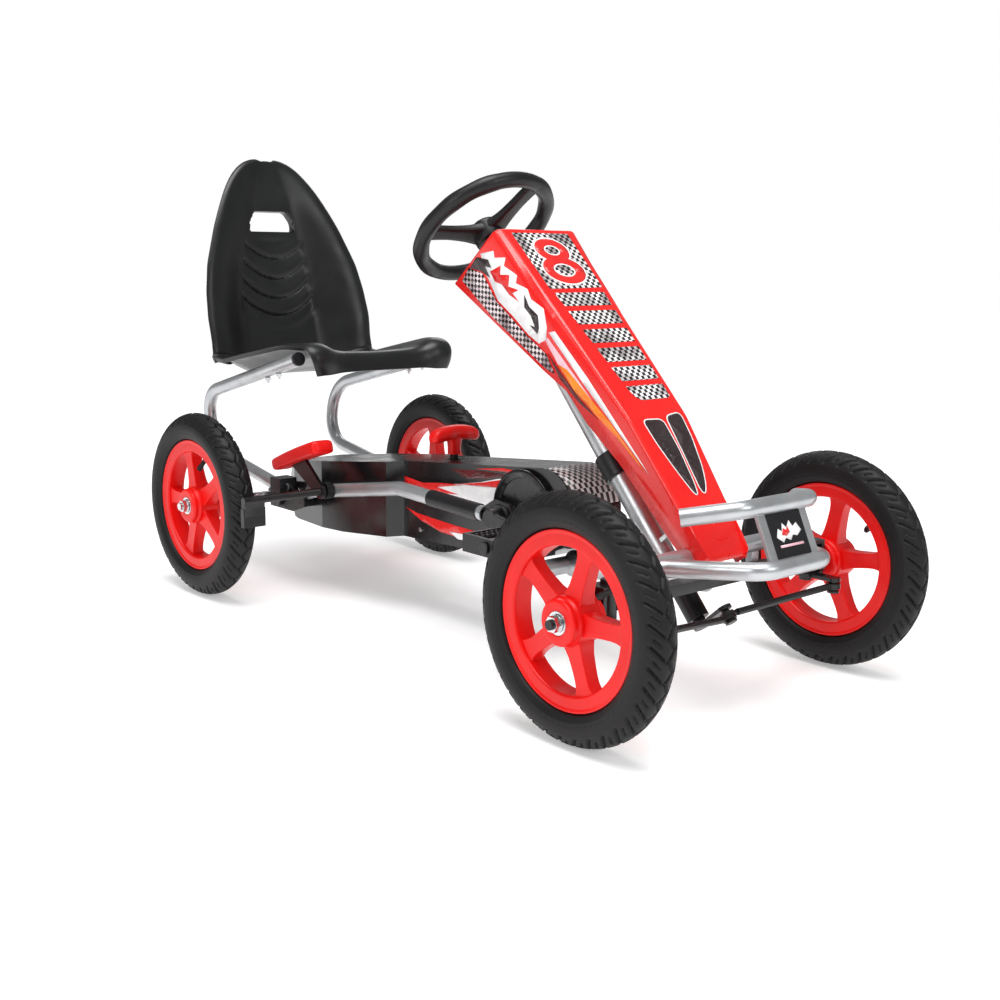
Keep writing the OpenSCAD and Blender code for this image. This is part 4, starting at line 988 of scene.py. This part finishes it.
REFLECTOR = reflector_plastic()
for node in ("rear_cover_right", "rear_cover_left", "front_case_right", "front_case_left"):
    eased(node, GLOSS_BLACK, 1.6, sharp=20, segments=3)
eased("crank_discs", GLOSS_BLACK, 1.0)
for node in ("pedal_right", "pedal_left"):
    eased(node, SATIN_BLACK, 1.4, segments=3)
    eased(node + "_reflectors", REFLECTOR, 0.6)

# %% [markdown]
# Both faces of a pedal carry four rows of nine short tread ribs.

# %% Tread ribs on the pedals
rib = softened(np.array([(-3.4, -2.6), (3.4, -2.6), (3.4, 2.6), (-3.4, 2.6)]) / 1000, 0.0012, 3)
for side in ("right", "left"):
    low, high = (np.array(c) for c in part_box("pedal_" + side))
    mid = (low + high) / 2
    ribs = []
    for up in (-1, 1):
        for row in (-0.034, -0.022, 0.022, 0.034):
            for k in range(9):
                y = mid[1] + (k - 4) * 0.0085
                lo, hi = mid[2] + up * 0.0072, mid[2] + up * 0.0116
                P = np.stack([np.stack([mid[0] + row + rib[:, 1] * f, y + rib[:, 0] * f,
                                        0 * rib[:, 0] + z], 1)
                              for z, f in ((lo, 1.0), (hi - up * 0.001, 1.0), (hi, 0.7))])
                ribs += [grid(P, close_v=True), lid(P[-1]), lid(P[0], True)]
    build("pedal_%s_tread_ribs" % side, ribs, "pedal_" + side, SATIN_BLACK, sharp=50)
print("pedal ribs", len(ribs) // 3)

# %% Case stickers
wall_y = abs(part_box("front_case_right")[0][1]) * 1000
CASE_PRINTS = [
    ("white", WHITE_INK, 1, [
        (-236, -7), (-204, 6), (-214, 10), (-150, 20), (-98, 30), (-60, 40), (-14, 46), (16, 42),
        (27, 28), (24, 12), (0, 0), (-36, -10), (-96, -12)]),
    ("red", RED_INK, 2, [
        (-282, 14), (-282, 3), (-214, -2), (-150, 4), (-200, 8), (-140, 20), (-190, 16),
        (-236, 10)]),
    ("hook", RED_INK, 2, [
        (-112, 48), (-50, 57), (-2, 57), (16, 50), (8, 44), (-60, 27), (-150, 20), (-90, 31),
        (-34, 44), (-24, 51), (-50, 52)]),
    ("wine", WINE_INK, 1, [
        (-170, 40), (-96, 47), (-52, 48), (-40, 45), (-90, 36), (-130, 31)]),
    ("low_red", RED_INK, 1, [
        (-282, -34), (-250, -40), (-160, -44), (-60, -46), (10, -40), (-70, -54), (-130, -62),
        (-190, -60), (-240, -50)]),
    ("low_white", WHITE_INK, 2, [
        (-170, -56), (-96, -52), (-20, -42), (-100, -61), (-150, -64)]),
    ("claws", RED_INK, 3, [
        (-64, 16), (-30, 22), (-12, 16), (-34, 12), (-16, 6), (-52, 4), (-36, 10)])]


def on_case(sign):
    """The placing function of one side wall of the chain case, from the crank's centre."""
    def place(x, z, lift):
        return np.stack([cx + x, 0 * x + sign * (wall_y + lift), cz + z], 1) / 1000
    return place


for sign, side in ((-1, "right"), (1, "left")):
    for name, ink, level, outline in CASE_PRINTS:
        sticker("case_%s_%s" % (name, side), [outline], on_case(sign), ink, level)


def on_nose(a, y, lift):
    """A place on the case's round nose: the angle a in degrees, at 60 mm from its centre."""
    r, a = 60 + lift, np.radians(a)
    return np.stack([cx + 36 + r * np.cos(a), y, cz + 8 + r * np.sin(a)], 1) / 1000


sticker("nose_chequers", [[(12, -44), (12, 44), (88, 44), (88, -44)]], on_nose, NOSE_CHECK, 1, 24)
print("case wall", round(wall_y, 2))

# %% [markdown]
# The black plate between the bumper hoops leans back. Its prints lie on its front face, whose
# middle and normal are written here as the engineering model has them.

# %% Bumper plate sticker
plate_at = np.array([0.57118, 0, 0.23497])
plate_n = unit([0.907188, 0, 0.420725])
plate_up = np.array([-plate_n[2], 0, plate_n[0]])


def on_plate(u, v, lift):
    """A place on the bumper plate: u up the plate, v to the left, both from its middle."""
    across = v[:, None] * np.array([0, 1, 0])
    return plate_at + (u[:, None] * plate_up + across + lift * plate_n) / 1000


PLATE_PRINTS = [
    ("flash", WHITE_INK, 1, [
        (-2, -24), (8, -18), (4, -12), (14, -8), (8, -2), (16, 6), (8, 10), (12, 18), (2, 24),
        (-4, 14), (-2, 6), (-8, 0), (-4, -8), (-9, -14)]),
    ("spark", RED_INK, 2, [(0, -14), (8, -9), (5, -4), (10, 0), (2, 2), (-2, -6)]),
    ("stripe", ROSE_INK, 1, [(-15, -22), (-12, -22), (-12, 22), (-15, 22)])]
for name, ink, level, outline in PLATE_PRINTS:
    sticker("plate_" + name, [outline], on_plate, ink, level, 2)
print("plate stickers", len(PLATE_PRINTS))

# %% [markdown]
# ## Red hand grips
# The brake grip is a soft-cornered bar and the gear knob is a T with drooping ends. Both are
# lofts: a rounded outline is carried along the grip and scaled by a curve that closes it at
# each end, as a moulded grip is closed.

# %% Lofted grips
def loft(line, half_a, half_b, A, B, power=3.2, n=40):
    """Rings about line[k]: half_a |cos|^(2/power) along A, half_b |sin|^(2/power) along B."""
    t = np.linspace(0, 2 * np.pi, n, endpoint=False)[None]
    ca = np.sign(np.cos(t)) * np.abs(np.cos(t)) ** (2 / power) * np.asarray(half_a)[:, None]
    sb = np.sign(np.sin(t)) * np.abs(np.sin(t)) ** (2 / power) * np.asarray(half_b)[:, None]
    A, B = (np.broadcast_to(np.asarray(v, float), (len(line), 3)) for v in (A, B))
    return grid(np.asarray(line)[:, None] + ca[..., None] * A[:, None] + sb[..., None] * B[:, None],
                close_v=True)


tilt = math.radians(19)
ahead = np.array([math.cos(tilt), 0, math.sin(tilt)])
above = np.array([-math.sin(tilt), 0, math.cos(tilt)])
grip_mid = np.mean(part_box("brake_grip"), 0)
k = np.sin(np.linspace(-np.pi / 2, np.pi / 2, 61))
line = grip_mid + k[:, None] * 0.0715 * ahead + (0.0012 - 0.0024 * k[:, None] ** 2) * above
close = np.clip(1 - np.abs(k) ** 26, 0, 1) ** 0.5 + 1e-5
grip = loft(line, 0.0206 * close * (0.96 + 0.04 * k), 0.0117 * close * (0.94 + 0.06 * k),
            (0, 1, 0), above, 4.2, 56)
build("brake_grip_moulding", [grip], "brake", RIM_RED, ("brake_grip",), sharp=60)

sel = np.array(joint["selector_swing"]["pos_m"])
y = 0.0455 * np.sin(np.linspace(-np.pi / 2, np.pi / 2, 49))
f = y / 0.0455
bar = np.stack([sel[0] + 0 * y, y, sel[2] + 0.0815 - 0.0075 * f ** 2], 1)
close = np.clip(1 - np.abs(f) ** 8, 0, 1) ** 0.5 + 1e-5
swellx = 0.0122 + 0.0012 * np.abs(f) ** 2 - 0.0006 * np.cos(3 * np.pi * f)
knob = loft(bar, swellx * close, (0.0112 + 0.0004 * np.abs(f)) * close, (1, 0, 0), (0, 0, 1),
            2.3, 40)
z = np.linspace(0.0462, 0.084, 22)
g = (z - z[0]) / (z[-1] - z[0])
neck = np.stack([sel[0] + 0 * z, 0 * z, sel[2] + z], 1)
nx = 0.0075 + 0.002 * g
ny = 0.0100 + 0.016 * np.clip(g - 0.35, 0, 1) ** 1.6
shut = np.array([1e-3] + [1.0] * 20 + [1e-3])
stem = loft(neck, nx * shut, ny * shut, (1, 0, 0), (0, 1, 0), 3.0, 40)
build("selector_knob", [knob, stem], "selector", RIM_RED, ("selector_handle",),
      sharp=55)
print("grips made")

# %% [markdown]
# ## Room, light and camera
# The kart stands on a plain pale floor, under one broad soft lamp overhead and three weaker
# ones round it. A dim, very wide sun stands for the light off a ceiling. The camera stands in
# front of the right front wheel, above the fairing's foot, and looks back along the kart.

# %% Floor
def floor_paint():
    """Pale floor paint: near white, with a very faint broad drift."""
    m, t, bsdf, place = start("pale_matt_floor_paint")
    broad = add(t, "TexNoise", {"Vector": place, "Scale": 0.8, "Detail": 2.0})
    fine = add(t, "TexNoise", {"Vector": place, "Scale": 300.0})
    bump = add(t, "Bump", {"Height": fine.outputs["Fac"], "Distance": 0.0001})
    pale = ramp(t, broad.outputs["Fac"], [(0.3, "#EFEFEF"), (0.7, "#F3F3F3")])
    feed(t, bsdf, {"Base Color": pale, "Normal": bump.outputs["Normal"], "Roughness": 0.85,
                   "Emission Color": colour("#FFFFFF"), "Emission Strength": 0.34})
    return m


ground = cad_box[0][2] - 0.0006
u, v = np.meshgrid(np.linspace(-60, 60, 41), np.linspace(-60, 60, 41), indexing="ij")
V, F, uv = grid(np.stack([u, v, 0 * u + ground], 2))
me = bpy.data.meshes.new("pale_floor")
me.from_pydata(V.tolist(), [], F.tolist())
me.materials.append(floor_paint())
floor = bpy.data.objects.new("pale_floor", me)
bpy.context.scene.collection.objects.link(floor)

# %% Lamps and surroundings
def lamp(name, place, target, size, watts):
    """A square soft lamp that points from its place at a target."""
    data = bpy.data.lights.new(name, "AREA")
    data.shape, data.size, data.energy = "SQUARE", size, watts
    obj = bpy.data.objects.new(name, data)
    obj.location = place
    direction = np.array(target, float) - np.array(place, float)
    obj.rotation_euler = mathutils.Vector(direction).to_track_quat("-Z", "Y").to_euler()
    bpy.context.scene.collection.objects.link(obj)


lamp("overhead_softbox", (0.3, -0.4, 3.0), (0, 0, 0.2), 2.2, 36)
lamp("right_softbox", (0.8, -3.0, 1.7), (0, 0, 0.3), 1.3, 24)
lamp("front_softbox", (3.0, 0.3, 1.9), (0, 0, 0.3), 1.2, 18)
lamp("rear_softbox", (-2.2, 2.2, 2.0), (-0.1, 0, 0.3), 1.3, 12)
data = bpy.data.lights.new("ceiling_bounce", "SUN")
data.energy, data.angle = 1.6, math.radians(35)
ceiling = bpy.data.objects.new("ceiling_bounce", data)
ceiling.rotation_euler = (math.radians(8), math.radians(10), 0)
bpy.context.scene.collection.objects.link(ceiling)
world = bpy.data.worlds.new("studio")
bpy.context.scene.world = world
world.use_nodes = True
sky = world.node_tree
seen = add(sky, "LightPath").outputs["Is Camera Ray"]
level = add(sky, "MapRange", {"Value": seen, "To Min": 0.3, "To Max": 1.0})
feed(sky, sky.nodes["Background"], {"Color": colour("#FFFFFF"),
                                    "Strength": level.outputs["Result"]})
bpy.context.scene.view_settings.view_transform = "Standard"

# %% [markdown]
# The camera's three axes are its line of sight, and the right and upward directions square to
# it, both turned by a small roll. They are the columns of its matrix.

# %% Camera
EYE = (1.4893, -1.2523, 0.5597)
SIGHT = unit([-0.742, 0.645, -0.187])
ROLL, LENS_MM, SENSOR_MM = 0.011, 47.06, 36.0
level_right = unit(np.cross(SIGHT, [0, 0, 1]))
level_up = np.cross(level_right, SIGHT)
right = math.cos(ROLL) * level_right + math.sin(ROLL) * level_up
upward = math.cos(ROLL) * level_up - math.sin(ROLL) * level_right
data = bpy.data.cameras.new("camera")
data.lens, data.sensor_width = LENS_MM, SENSOR_MM
cam = bpy.data.objects.new("camera", data)
cam.matrix_world = mathutils.Matrix(np.stack([right, upward, -SIGHT], 1).tolist()).to_4x4()
cam.location = EYE
bpy.context.scene.collection.objects.link(cam)
bpy.context.scene.camera = cam
